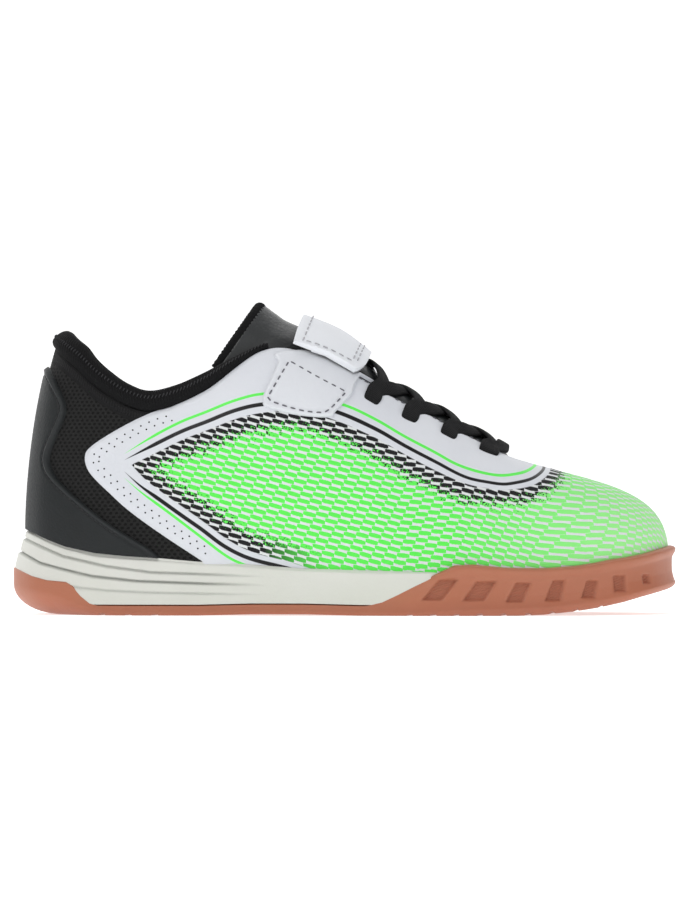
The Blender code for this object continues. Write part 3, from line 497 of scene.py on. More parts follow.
def inside(outline, x, z):
    """Whether side-view points lie within a closed outline."""
    crossings = np.zeros(x.shape, dtype=bool)
    for (ax, az), (bx, bz) in zip(outline, np.roll(outline, -1, axis=0)):
        spans = (az > z) != (bz > z)
        meet = ax + (z - az) / (bz - az + 1e-15) * (bx - ax)
        crossings ^= spans & (x < meet)
    return crossings


def signed_distance(paths, outline, x, z):
    """Distance to the nearest path: positive within the outline, negative outside it."""
    nearest = np.minimum.reduce([distance_to(path, x, z) for path in paths])
    return np.where(inside(outline, x, z), nearest, -nearest)


def grid_faces(rows, columns, ring=False, start=0):
    """The quads of a grid of points; a ring closes each row on itself."""
    index = np.arange(rows * columns).reshape(rows, columns) + start
    if ring:
        index = np.concatenate([index, index[:, :1]], axis=1)
    quads = np.stack([index[:-1, :-1], index[:-1, 1:], index[1:, 1:], index[1:, :-1]], axis=-1)
    return quads.reshape(-1, 4)


def add_piece(name, points, faces, finishes, values=None, face_finish=None, weld=False):
    """A smooth-shaded mesh object with numbers kept on its points for the shaders."""
    mesh = bpy.data.meshes.new(name)
    mesh.from_pydata(np.asarray(points).tolist(), [], [list(face) for face in faces])
    for key, numbers in (values or {}).items():
        layer = mesh.attributes.new(key, "FLOAT", "POINT")
        layer.data.foreach_set("value", np.asarray(numbers, dtype=np.float32).ravel())
    for finish in finishes:
        mesh.materials.append(finish)
    if face_finish is not None:
        mesh.polygons.foreach_set("material_index", np.asarray(face_finish, dtype=np.int32))
    shape = bmesh.new()
    shape.from_mesh(mesh)
    if weld:
        bmesh.ops.remove_doubles(shape, verts=shape.verts, dist=WELD)
    bmesh.ops.recalc_face_normals(shape, faces=shape.faces)
    shape.to_mesh(mesh)
    shape.free()
    mesh.shade_smooth()
    piece = bpy.data.objects.new(name, mesh)
    bpy.context.scene.collection.objects.link(piece)
    return piece


def settle(piece, slot, *nodes):
    """Put a piece on the shoe's body, in the place of the solids that it stands for."""
    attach(piece, BODY)
    if nodes:
        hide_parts(*nodes)
    return piece


def skin(rings, factor_along, factor_round, ends=(.78, .42)):
    """Smooth rings of points: rows along the piece, each closed, with rounded ends."""
    rings = smooth_rows(rings, factor_along)
    turned = np.swapaxes(rings, 0, 1)
    rings = np.swapaxes(smooth_rows(turned, factor_round, ring=True), 0, 1)
    first, last = rings[0], rings[-1]
    head = [first.mean(axis=0) + (first - first.mean(axis=0)) * share for share in ends[::-1]]
    tail = [last.mean(axis=0) + (last - last.mean(axis=0)) * share for share in ends]
    return np.concatenate([np.array(head), rings, np.array(tail)])


def ring_piece(name, rings, finishes, values=None, lined=None):
    """A closed solid through rings of points, capped by a fan at both ends.

    The second finish is for the span of each ring that lined gives as shares.
    """
    rows, columns = rings.shape[:2]
    faces = [tuple(face) for face in grid_faces(rows, columns, ring=True)]
    points = np.concatenate([rings.reshape(-1, 3), [rings[0].mean(axis=0)], [rings[-1].mean(axis=0)]])
    foot, head = len(points) - 2, len(points) - 1
    last = (rows - 1) * columns
    for k in range(columns):
        n = (k + 1) % columns
        faces.append((k, n, foot))
        faces.append((last + k, last + n, head))
    if values:
        values = {key: np.append(numbers.ravel(), [numbers.flat[0], numbers.flat[-1]])
                  for key, numbers in values.items()}
    face_finish = None
    if lined:
        turn = np.tile(np.arange(columns) / columns, rows - 1)
        face_finish = np.append((turn > lined[0]) & (turn < lined[1]), np.zeros(2 * columns)).astype(int)
    return add_piece(name, points, faces, finishes, values, face_finish)


def travelled(path):
    """How far each point of a path lies from its first, along the path."""
    return np.concatenate([[0], np.cumsum(np.linalg.norm(np.diff(path, axis=0), axis=1))])


def lengths_along(rings):
    """How far along the piece each point of its rings lies."""
    return np.broadcast_to(travelled(rings.mean(axis=1))[:, None], rings.shape[:2])


def read_at(place, places, rows):
    """A row of numbers read between the rows that are known at these places."""
    return np.array([np.interp(place, places, rows[:, axis]) for axis in range(rows.shape[1])])


def threads(name, runs, pitch, share, radius, finish, slot):
    """Sewn stitches along runs of points; each run is a pair of a path and its normals."""
    points = []
    faces = []
    turns = np.linspace(0, 2 * math.pi, 6, endpoint=False)
    profile = [(-1, .0), (-.96, .55), (-.7, .95), (0, 1.0), (.7, .95), (.96, .55), (1, .0)]
    for path, normals in runs:
        places = travelled(path)
        count = max(int(round(places[-1] / pitch)), 1)
        for k in range(count):
            middle = (k + .5) / count * places[-1]
            half = places[-1] / count * share / 2
            tail, head = (read_at(middle + side * half, places, path) for side in (-1, 1))
            normal = unit(read_at(middle, places, normals))
            along = head - tail
            side = unit(np.cross(along, normal))
            circle = (np.cos(turns)[:, None] * side + np.sin(turns)[:, None] * normal) * radius
            for place, wide in profile:
                centre = tail + along * (place + 1) / 2 + normal * radius * (.55 - .9 * place ** 4)
                points.append(centre + circle * wide)
            start = len(points) * len(turns) - len(profile) * len(turns)
            faces.append(grid_faces(len(profile), len(turns), ring=True, start=start))
    piece = add_piece(name, np.concatenate(points), np.concatenate(faces), [finish])
    return settle(piece, slot)


def holes(name, centres, normals, radius, finish, slot):
    """Small needle holes, as dark studs of painted shade that lie almost flush with the surface."""
    turns = np.linspace(0, 2 * math.pi, 10, endpoint=False)
    points = []
    faces = []
    for centre, normal in zip(centres, normals):
        side = unit(np.cross(normal, np.array([0.3, 0.1, 1.0])))
        other = np.cross(normal, side)
        start = len(points) * len(turns)
        for share, rise in ((1.0, -.15), (.9, .12), (.35, .18)):
            ring = (np.cos(turns)[:, None] * side + np.sin(turns)[:, None] * other) * radius * share
            points.append(centre + ring + normal * radius * rise)
        faces += [tuple(face) for face in grid_faces(3, len(turns), ring=True, start=start)]
        faces.append(tuple(range(start + 2 * len(turns), start + 3 * len(turns))))
    return settle(add_piece(name, np.concatenate(points), faces, [finish]), slot)


def find_side(side, x, z):
    """Stations and heights on the upper whose side view is at these points."""
    x = np.asarray(x, dtype=float)
    z = np.asarray(z, dtype=float)
    row = np.interp(x / LENGTH + .5, [r.along for r in SECTIONS], range(len(SECTIONS)))
    v = np.full_like(row, .5)
    step = 0.002
    for _ in range(14):
        u = row if side < 0 else LOOP - row
        here = upper_surface(u, v)
        turn = upper_surface(u + step, v)
        lift = upper_surface(u, v + step)
        sign = 1 if side < 0 else -1
        a, b = (turn - here)[..., 0] / step * sign, (lift - here)[..., 0] / step
        c, d = (turn - here)[..., 2] / step * sign, (lift - here)[..., 2] / step
        ex, ez = x - here[..., 0], z - here[..., 2]
        det = a * d - b * c
        det = np.where(np.abs(det) < 1e-9, 1e-9, det)
        row = np.clip(row + np.clip((d * ex - b * ez) / det, -.6, .6), 0.0, TOE)
        v = np.clip(v + np.clip((a * ez - c * ex) / det, -.15, .15), 0.0, 1.0)
    return (row if side < 0 else LOOP - row), v


def on_side(side, path, distance):
    """A side-view path laid on the upper, with its normals."""
    u, v = find_side(side, path[:, 0], path[:, 1])
    return upper_offset(u, v, distance), upper_normal(u, v)


def beside(path, distance):
    """A side-view path moved to its right by a distance."""
    travel = unit(np.gradient(path, axis=0))
    return path + np.stack([travel[:, 1], -travel[:, 0]], axis=1) * distance


class Wire:
    """One socket of a shader that takes part in sums; Finish makes them."""

    def __init__(self, finish, socket):
        self.finish = finish
        self.socket = socket

    def join(self, operation, *others, clamp=False):
        inputs = dict(enumerate((self,) + others))
        settings = {"operation": operation, "use_clamp": clamp}
        return self.finish.node("ShaderNodeMath", settings, inputs)

    def __add__(self, other):
        return self.join("ADD", other)

    def __mul__(self, other):
        return self.join("MULTIPLY", other)

    def __sub__(self, other):
        return self.join("SUBTRACT", other)

    def __rsub__(self, other):
        return self.finish.node("ShaderNodeMath", {"operation": "SUBTRACT"}, {0: other, 1: self})

    def __truediv__(self, other):
        return self.join("DIVIDE", other)

    __radd__ = __add__
    __rmul__ = __mul__

    def size(self):
        return self.join("ABSOLUTE")

    def fraction(self):
        return self.join("FRACT")

    def whole(self):
        return self.join("FLOOR")

    def most(self, other):
        return self.join("MAXIMUM", other)

    def above(self, edge, soft):
        """From 0 below the edge to 1 above it, over a soft width."""
        return ((self - edge) / soft).join("ADD", 0.5, clamp=True)

    def below(self, edge, soft):
        return 1 - self.above(edge, soft)


class Finish:
    """A material built from one Principled shader."""

    def __init__(self, name, **settings):
        self.material = bpy.data.materials.new(name)
        self.material.use_nodes = True
        self.tree = self.material.node_tree
        self.shader = self.tree.nodes["Principled BSDF"]
        for key, value in settings.items():
            self.input(key).default_value = value

    def input(self, key):
        """The shader's input whose label is this key in plain letters."""
        return self.shader.inputs[key.replace("_", " ").title().replace("Ior", "IOR")]

    def node(self, kind, settings, inputs, output=0):
        made = self.tree.nodes.new(kind)
        for key, value in settings.items():
            setattr(made, key, value)
        for key, value in inputs.items():
            if isinstance(value, Wire):
                self.tree.links.new(value.socket, made.inputs[key])
            else:
                made.inputs[key].default_value = value
        return Wire(self, made.outputs[output])

    def number(self, name):
        """A number kept on the mesh's points."""
        return self.node("ShaderNodeAttribute", {"attribute_name": name}, {}, "Fac")

    def place(self):
        return self.node("ShaderNodeTexCoord", {}, {}, "Object")

    def parts(self, vector):
        split = self.tree.nodes.new("ShaderNodeSeparateXYZ")
        self.tree.links.new(vector.socket, split.inputs[0])
        return [Wire(self, out) for out in split.outputs]

    def grain(self, pitch, detail=2.0, stretch=None):
        """Soft noise with cells of about this size, in metres."""
        where = self.place()
        if stretch:
            where = self.node("ShaderNodeVectorMath", {"operation": "MULTIPLY"}, {0: where, 1: stretch})
        settings = {"Vector": where, "Scale": 1 / pitch, "Detail": detail}
        return self.node("ShaderNodeTexNoise", {}, settings, "Fac")

    def cells(self, pitch):
        """Distance to the middle of the nearest cell, as in leather's grain."""
        return self.node("ShaderNodeTexVoronoi", {}, {"Vector": self.place(), "Scale": 1 / pitch},
                         "Distance")

    def blend(self, first, second, share):
        """A mix of two wires or display colours, from the first at 0 to the second at 1."""
        first, second = (tone if isinstance(tone, Wire) else linear(tone) for tone in (first, second))
        return self.node("ShaderNodeMix", {"data_type": "RGBA"}, {0: share, 6: first, 7: second}, 2)

    def bump(self, height, depth):
        return self.node("ShaderNodeBump", {}, {"Height": height, "Distance": depth, "Strength": 1.0})

    def set(self, **links):
        for key, wire in links.items():
            self.tree.links.new(wire.socket, self.input(key))
        return self.material


def linear(colour):
    """A display colour as the shader's linear one."""
    parts = [c / 12.92 if c <= 0.04045 else ((c + 0.055) / 1.055) ** 2.4 for c in colour]
    return (*parts, 1.0)


# Side-view paths, as (x, z) in millimetres
PANEL_EDGE = [(-53.4, 64.7), (-60.5, 62.6), (-69.8, 58.0), (-78.3, 52.6), (-80.6, 49.2), (-79.1, 44.1),
              (-72.6, 37.5), (-66.4, 32.0), (-56.8, 25.1), (-44.5, 17.0)]
PRINT_ABOVE = [(-66.1, 46.5), (-59.6, 49.6), (-50.0, 54.3), (-41.9, 57.4), (-33.2, 60.8), (-24.8, 62.7),
               (-14.0, 63.2), (-3.1, 60.2), (8.4, 55.2), (17.1, 50.3), (26.4, 45.3), (35.7, 41.0),
               (43.1, 39.1), (50.0, 38.5), (57.4, 39.7), (62.4, 42.4), (64.4, 45.4)]
PRINT_BELOW = [(-66.1, 46.5), (-61.7, 41.9), (-55.5, 37.2), (-49.3, 32.9), (-43.1, 28.5), (-36.0, 23.3),
               (-28.2, 19.5), (-17.1, 16.6), (-6.0, 13.0)]
BLACK_ABOVE = [(-69.2, 47.5), (-60.2, 52.1), (-50.6, 56.8), (-42.5, 59.9), (-33.8, 63.3), (-25.4, 65.2),
               (-14.0, 65.6), (-2.5, 62.7), (9.0, 57.6), (18.0, 52.4), (27.3, 47.5), (36.3, 42.8),
               (43.1, 41.0), (50.0, 40.3), (56.8, 41.6), (61.0, 43.9), (62.6, 46.6)]
BLACK_BELOW = [(-68.6, 44.7), (-63.3, 40.0), (-56.8, 35.4), (-50.6, 31.0), (-44.4, 26.7), (-37.2, 21.4),
               (-29.5, 17.7), (-19.2, 15.0), (-8.0, 12.0)]
GREEN_ABOVE = [(-69.2, 49.3), (-59.1, 55.5), (-50.6, 59.9), (-42.5, 63.0), (-33.8, 66.4), (-25.4, 68.4),
               (-14.0, 68.3), (-0.6, 64.9), (9.0, 60.5), (18.0, 55.2), (27.3, 50.3), (34.1, 46.5),
               (41.0, 44.1), (47.8, 42.9), (54.6, 43.6), (59.3, 46.0), (60.6, 48.6)]
GREEN_BELOW = [(-69.2, 43.3), (-63.3, 38.2), (-56.8, 33.5), (-50.6, 28.9), (-44.4, 24.2), (-37.2, 18.8),
               (-32.3, 16.2), (-24.0, 13.0)]
PATCH_SEAM = [(-17.7, 77.9), (-23.0, 68.6), (-23.6, 66.4), (-18.0, 64.2), (-12.1, 62.7), (-6.8, 62.3),
              (-5.0, 63.3), (-2.2, 66.1), (-0.3, 68.3)]
PATCH_TOP_SEAM = [(-17.7, 77.9), (-9.0, 73.0), (-0.3, 68.3)]
# The print's rows are measured up from the sole's edge, and its dashes bend round the toe.
# Pitches are in millimetres, the half width and the toe's span in metres, the rest in rows or shares
SOLE_LINE = [(-75, 18.5), (-45, 16.4), (-14, 14.4), (17, 13.5), (35, 15.8), (60, 14.6), (74, 15.2),
             (84, 16.8), (94, 18.6), (103, 20.3)]
ROW_PITCH = 2.0
INWARD_SHARE = 0.65
PRINT_HALF_LEAST = 0.012
TOE_WRAP = 0.75
TOE_WRAP_SPAN = (0.055, 0.098)
DASH_SHIFT = 0.25
DASH_LEAN = 0.42
DASH_HALF = 0.345
DASH_TAPER = 1.7
NET_PITCH = 1.9
NET_ROW = 1.15
DASH_PITCH = [(-80, 3.9), (10, 3.85), (50, 3.7), (80, 3.3), (110, 2.9)]
# Soft troughs, as listed: middle, direction in degrees, half length, half width and depth in mm
Crease = namedtuple("Crease", "along up turn reach width depth")
CREASES = [Crease(*row) for row in (
    (56, 33, 78, 13, 3.2, .30), (63, 30, 70, 12, 3.0, .26), (49, 30, 84, 12, 3.4, .22),
    (-33, 40, 62, 20, 6.0, .35), (-52, 60, 20, 10, 4.0, .25), (20, 30, 100, 16, 7.0, .25),
    (-2, 42, 75, 16, 7.0, .25), (84, 27, 60, 9, 4.0, .18))]


def crease_depth(x, z):
    """How far the listed troughs lower the cloth at side-view points."""
    depth = np.zeros_like(x)
    for crease in CREASES:
        turn = math.radians(crease.turn)
        dx, dz = x - crease.along * MM, z - crease.up * MM
        along = (dx * math.cos(turn) + dz * math.sin(turn)) / (crease.reach * MM)
        across = (dz * math.cos(turn) - dx * math.sin(turn)) / (crease.width * MM)
        trough = np.exp(-across ** 2) - .45 * np.exp(-(np.abs(across) - 1.7) ** 2 * 2)
        depth += crease.depth * MM * trough * np.exp(-along ** 4)
    return depth


def print_outline(above, below):
    """Everything ahead of an arrow-shaped pair of paths."""
    ahead = np.array([(70, 130), (160, 130), (160, -20), (-10, -20)]) * MM
    return np.concatenate([above, ahead, below[::-1]])


def print_place(points):
    """The print's row and dash number at points on the upper."""
    x, y, z = points[..., 0], points[..., 1], points[..., 2]
    low = np.interp(x / MM, *zip(*SOLE_LINE)) * MM
    half = np.array([plan(np.array(float(k)))[1] for k in range(LOOP)])
    rear = np.array([plan(np.array(float(k)))[0] for k in range(LOOP)])
    lateral = np.interp(x, rear[:TOE + 1], -half[:TOE + 1])
    medial = np.interp(x, np.append(rear[TOE:], rear[0])[::-1], np.append(half[TOE:], half[0])[::-1])
    wide = np.maximum(np.where(y < 0, lateral, medial), PRINT_HALF_LEAST) - SOLE_MARGIN * .6
    inward = np.maximum(wide - np.abs(y), 0) * INWARD_SHARE
    climb = np.where(z > low, np.hypot(z - low, inward), z - low)
    places = np.arange(-110, 111) * MM
    pitch = np.interp(places / MM, *zip(*DASH_PITCH)) * MM
    dashes = np.concatenate([[0], np.cumsum(MM / pitch)[:-1]])
    wrap = x - np.abs(y) * TOE_WRAP * ease(x, *TOE_WRAP_SPAN)
    return climb / (ROW_PITCH * MM), np.interp(wrap, places, dashes)


def make_upper(look):
    """The cloth shell with its stepped front panel, rolled rims, soft creases and lining."""
    u = np.linspace(0, LOOP, UPPER_STATIONS, endpoint=False)
    outer_levels = np.linspace(0, 1, UPPER_LEVELS)
    grid_u = np.broadcast_to(u, (len(outer_levels), len(u)))
    grid_v = np.broadcast_to(outer_levels[:, None], grid_u.shape)
    base = upper_surface(grid_u, grid_v)
    normal = upper_normal(grid_u, grid_v)
    x, z = base[..., 0], base[..., 2]
    panel_path = smooth_path(PANEL_EDGE)
    ahead = np.array([(-44.5, -20), (160, -20), (160, 130), (-50, 130)]) * MM
    panel = signed_distance([panel_path], np.concatenate([panel_path, ahead]), x, z)
    pairs = {"print_edge": (PRINT_ABOVE, PRINT_BELOW), "black_line": (BLACK_ABOVE, BLACK_BELOW),
             "green_line": (GREEN_ABOVE, GREEN_BELOW)}
    values = {"panel_edge": panel}
    for key, (above, below) in pairs.items():
        upper_path, lower_path = smooth_path(above), smooth_path(below)
        outline = print_outline(upper_path, lower_path)
        values[key] = signed_distance([upper_path, lower_path], outline, x, z)
    row, dash = print_place(base)
    values["print_row"] = row
    values["print_dash"] = dash
    steps = np.linalg.norm(np.diff(base, axis=1, append=base[:, :1]), axis=2)
    values["around_lap"] = np.broadcast_to(np.cumsum(steps[UPPER_LEVELS // 2 - 1]), grid_u.shape)
    down = np.linalg.norm(np.diff(base, axis=0, append=base[-1:]), axis=2)
    values["down_lap"] = np.cumsum(down[::-1], axis=0)[::-1]
    fold = ease(1 - grid_v, 0, .03)
    lift = PANEL_STEP * ease(panel, -.0001, .0010) * (.35 + .65 * fold) - crease_depth(x, z) * fold
    outer = base + normal * lift[..., None]
    inner_levels = np.linspace(1, 0, LINING_LEVELS)
    inner_u = np.broadcast_to(u, (len(inner_levels), len(u)))
    inner_v = np.broadcast_to(inner_levels[:, None], inner_u.shape)
    inner = upper_offset(inner_u, inner_v, -WALL)
    rim = (outer[-1] + inner[0]) / 2 + unit(base[-1] - base[-3]) * WALL * .35
    rows = np.concatenate([outer, rim[None], inner])
    count = len(u)
    faces = grid_faces(len(rows), count, ring=True)
    lined = np.repeat(np.arange(len(rows) - 1) > len(outer), count).astype(int)
    padded = {key: np.concatenate([number, np.repeat(number[-1:], len(rows) - len(outer), axis=0)])
              for key, number in values.items()}
    shell = add_piece("upper_shell", rows.reshape(-1, 3), faces,
                      [look["printed_mesh"], look["lining"]], padded, lined)
    return settle(shell, "printed_mesh", "upper")


def make_stitching(look, sizes):
    """The two rows of needle holes round the panel's edge, and the eyestay's short seams."""
    edge = smooth_path(PANEL_EDGE)
    for side, label in ((-1, "lateral"), (1, "medial")):
        for number, inset in enumerate(HOLE_ROWS, 1):
            path = beside(edge, -inset)
            path = path[path[:, 1] > HOLES_FROM]
            places = travelled(path)
            marks = np.arange(sizes.stitch_pitch / number, places[-1], sizes.stitch_pitch)
            spots = read_at(marks, places, path).T
            face = PANEL_STEP - crease_depth(spots[:, 0], spots[:, 1])
            centres, normals = on_side(side, spots, face[:, None])
            # The holes' dark studs are painted shade.
            holes("panel_holes_%s_%d" % (label, number), centres, normals, HOLE_RADIUS, look["hole_shade"],
                  "white_synthetic")
    runs = []
    for side in (-1, 1):
        for index in range(SLOT_PAIRS - 1):
            s = np.linspace(slot_place(index) + SLOT_CLEAR, slot_place(index + 1) - SLOT_CLEAR, 8)
            q = np.full_like(s, side * EYESTAY_SEAM_Q)
            path = instep_offset(s, q, np.full_like(s, PANEL_STEP))
            runs.append((path, unit(path - instep(s, q))))
    threads("eyestay_seam", runs, *EYESTAY_THREAD, look["grey_thread"], "white_synthetic")


def rounded(inset, radius):
    """The share of its full height that a plate with a rounded edge has this far in."""
    return np.sqrt(np.clip(1 - (1 - np.clip(inset / radius, 0, 1)) ** 2, 0, 1))


def beside_edge(inset, middle, width):
    """1 on a soft line this far in from an edge, or at this height, and 0 away from it."""
    return np.exp(-((inset - middle) / width) ** 2)


def slot_place(index):
    return FIRST_SLOT + index * SLOT_PITCH


def make_counter(look):
    """The heel's outer shell, cut to its swept front edge, with a piped rim and a seam."""
    front = smooth_rows(np.array(COUNTER_FRONT), 8)
    for _ in range(40):
        front[1:-1] = (front[:-2] + front[1:-1] * 2 + front[2:]) / 4
    front = np.stack([x_of(front[:, 0]), front[:, 1] * INSTEP_HEIGHT], axis=1)[::-1]
    top = COUNTER_FRONT[0][1] * INSTEP_HEIGHT
    levels = np.linspace(0, 1, 84)
    turn = np.linspace(-1, 1, 150)
    grid_u = np.zeros((len(levels), len(turn)))
    for side, mask in ((-1, turn <= 0), (1, turn > 0)):
        low, high = np.zeros(len(levels)), np.full(len(levels), 6.4)
        for _ in range(26):
            middle = (low + high) / 2
            u = middle if side < 0 else (LOOP - middle) % LOOP
            foot = midsole_top(u) + GAP
            height = foot + (top - foot) * levels
            x = upper_surface(u, at_height(u, height, 1.0))[..., 0]
            behind = x < np.interp(height, front[:, 1], front[:, 0])
            low = np.where(behind, middle, low)
            high = np.where(behind, high, middle)
        reach = low[:, None] * np.abs(turn[mask])
        grid_u[:, mask] = reach if side < 0 else LOOP - reach
    foot = midsole_top(grid_u % LOOP) + GAP
    heights = foot + (top - foot) * levels[:, None]
    v = at_height(grid_u % LOOP, heights, 1.0)
    base = upper_surface(grid_u, v)
    normal = upper_normal(grid_u, v)
    inset = distance_to(front, base[..., 0], base[..., 2])
    inset = np.minimum(inset, (top - heights) + .0001)
    piping = beside_edge(inset, PIPING_INSET, PIPING_WIDTH) * PIPING_RISE
    seam = beside_edge(inset, COUNTER_SEAM_INSET, COUNTER_SEAM_WIDTH) * COUNTER_SEAM_DEPTH
    lift = (GAP + COUNTER_THICKNESS) * rounded(inset, COUNTER_ROUND) + piping - seam
    lift = np.where(inset < .00005, 0, lift)
    outer = base + normal * lift[..., None]
    counter = add_piece("heel_counter_shell", outer.reshape(-1, 3), grid_faces(*outer.shape[:2]),
                        [look["black_synthetic"]], {"rim_inset": inset})
    settle(counter, "black_synthetic", "heel_counter")
    runs = []
    for side in (-1, 1):
        path = beside(front[::-1], COUNTER_SEAM_INSET)
        path = path[(path[:, 1] > COUNTER_SEAM_LOW) & (path[:, 1] < COUNTER_SEAM_HIGH)]
        runs.append(on_side(side, path, GAP + COUNTER_THICKNESS - .0003))
    threads("counter_seam", runs, *COUNTER_THREAD, look["black_thread"], "black_synthetic")


def make_patch(look, sizes):
    """The sewn base that the strap closes on, a rounded plate on the lateral side."""
    outline = smooth_rows(np.clip(np.array(PATCH_OUTLINE), 0, .975), 8, ring=True)
    outline = np.stack([x_of(outline[:, 0]), outline[:, 1] * INSTEP_HEIGHT], axis=1)
    middle = outline.mean(axis=0)
    spread = np.linspace(0, 1, 30) ** .8
    grid = middle + (outline - middle) * spread[:, None, None]
    u, v = find_side(-1, grid[..., 0], grid[..., 1])
    inset = distance_to(np.concatenate([outline, outline[:1]]), grid[..., 0], grid[..., 1])
    lift = PANEL_STEP + (GAP + PATCH_THICKNESS) * rounded(inset, PATCH_ROUND)
    press = beside_edge(inset, PATCH_SEAM_INSET, PATCH_SEAM_WIDTH) * PATCH_SEAM_DEPTH
    points = upper_offset(u, v, (lift - press)[..., None])
    faces = grid_faces(*grid.shape[:2], ring=True)
    patch = add_piece("strap_base_plate", points.reshape(-1, 3), faces, [look["white_synthetic"]],
                      weld=True)
    settle(patch, "white_synthetic", "strap_base")
    runs = [on_side(-1, smooth_path(path), PANEL_STEP + GAP + PATCH_THICKNESS - .0001)
            for path in (PATCH_SEAM, PATCH_TOP_SEAM)]
    threads("strap_base_seam", runs, sizes.stitch_pitch, *PATCH_THREAD, look["grey_thread"],
            "white_synthetic")


def make_strap(look, sizes):
    """The strap over the instep, narrowed and slanted at its lateral end, with turned and sewn edges."""
    q = np.concatenate([[-1.10, -1.04], np.linspace(-.95, 2.68, 24), [2.76, 2.80]])
    side = np.array([.0, .04, .5, .96, 1.0])
    near_end = np.clip((-.72 - q) / .40, 0, 1)
    pull = STRAP_WIDTH * .09 * near_end ** 2
    front = (STRAP_FRONT - pull)[:, None]
    rear = (STRAP_REAR + pull * .5)[:, None]
    skew = q[:, None] - STRAP_SKEW * side * near_end[:, None]
    point, normal = instep_frame(rear + (front - rear) * side, skew)
    lift = strap_lift(q)[:, None, None]
    swell = (np.array([0, .25, .35, .25, 0]) * STRAP_THICKNESS)[:, None]
    top = point + normal * (lift + STRAP_THICKNESS * .62 + swell)
    under = (point + normal * lift)[:, ::-1]
    rings = skin(np.concatenate([top, under], axis=1), 5, 6)
    # The strap's underside is black hook tape, which also serves as painted shade in the slit under the
    # strap.
    strap = ring_piece("strap_band", rings, [look["white_strap"], look["hook_and_slit_shade"]], lined=(.56, .94))
    settle(strap, "white_synthetic", "strap")
    lines = [(np.full(60, s), np.linspace(*reach, 60)) for s, reach in STRAP_EDGE_SEAMS]
    lines += [(np.linspace(STRAP_REAR + .003, STRAP_FRONT - .004, 20), np.full(20, end))
              for end in STRAP_END_SEAMS]
    runs = []
    for s, across in lines:
        height = strap_lift(across) + STRAP_THICKNESS * .93
        path = instep_offset(s, across, height)
        runs.append((path, unit(path - instep_offset(s, across, height - .001))))
    threads("strap_seams", runs, sizes.stitch_pitch, *STRAP_THREAD, look["white_thread"],
            "white_synthetic")


def strap_lift(q):
    """How far the strap's inner face stands off the instep, from crown to sides."""
    face = PANEL_STEP + GAP
    over_edge = face + 2 * GAP + max(PATCH_THICKNESS, LACE_THICKNESS)
    return np.interp(np.abs(q), [0, .5, .95, 1.5, 2.4], [GAP, GAP * 3, over_edge, over_edge, face])


def make_tongue(look):
    """The padded tongue, with a ribbed binding round its free end."""
    across = np.array([-1.42, -1.2, -1.0, -.75, -.5, -.25, 0, .25, .5, .75, 1.0, 1.2, 1.42])
    places = np.array([1, .88, .71, .53, .35, .21, .07]) * TONGUE_LENGTH
    s, q = np.meshgrid(places, across, indexing="ij")
    depth = shares(TONGUE_TUCKS, np.abs(q)) * TONGUE_TUCK + WALL + GAP
    outer = instep_offset(s, q, -depth)
    inner = instep_offset(s, q, -depth - TONGUE_THICKNESS)
    narrow = np.array([1, .8, 1])
    outer_rows = [outer[0] * narrow + RIDGE * TONGUE_NOSE - RIDGE_UP * TONGUE_DIP] + list(outer)
    inner_rows = [inner[0] * narrow + RIDGE * TONGUE_NOSE - RIDGE_UP * TONGUE_DIP / 2] + list(inner)
    crown = instep(0.0, 0.0)
    for flap in FLAPS:
        tilt = math.radians(flap.tilt)
        down = np.array([-math.sin(tilt), 0, -math.cos(tilt)])
        middle = crown + np.array([-flap.back, 0, flap.up]) * TONGUE_REACH
        for rows, inset in ((outer_rows, 0), (inner_rows, TONGUE_THICKNESS)):
            turn = across / across[-1] * math.pi / 2
            half = flap.half * HALF_TOP["opening"] - inset
            drop = (flap.drop * INSTEP_HEIGHT - inset * .4) * (1 - np.cos(turn)) + inset
            rows.append(middle + (half * np.sin(turn))[:, None] * np.array([0, 1.0, 0])
                        + drop[:, None] * down)
    rings = np.concatenate([np.array(outer_rows), np.array(inner_rows)[:, ::-1]], axis=1)
    fine = skin(rings, 9, 4, ends=(.97, .90, .72))
    tongue = ring_piece("tongue_pad", fine, [look["tongue_leather"]])
    settle(tongue, "black_synthetic", "tongue")
    edge = rings[-1]
    count = len(across)
    tip = unit(edge - rings[-2])[:count]
    path = smooth_rows(edge[:count] * .5 + edge[count:][::-1] * .5 + tip * .0004, 8)
    make_binding("tongue_binding", path, TONGUE_THICKNESS * .55, look["knit"], "black_knit")


def make_binding(name, path, radius, finish, slot):
    """A ribbed round edging along a path."""
    travel = unit(np.gradient(path, axis=0))
    side = unit(np.cross(travel, np.array([-.4, 0, 1.0])))
    other = np.cross(travel, side)
    turns = np.linspace(0, 2 * math.pi, 14, endpoint=False)
    ribs = 1 + .07 * np.sin(travelled(path) / BINDING_RIB * 2 * math.pi)
    circle = np.cos(turns)[:, None, None] * side + np.sin(turns)[:, None, None] * other
    rings = path[:, None] + np.swapaxes(circle, 0, 1) * (radius * ribs)[:, None, None]
    return settle(ring_piece(name, rings, [finish]), slot)


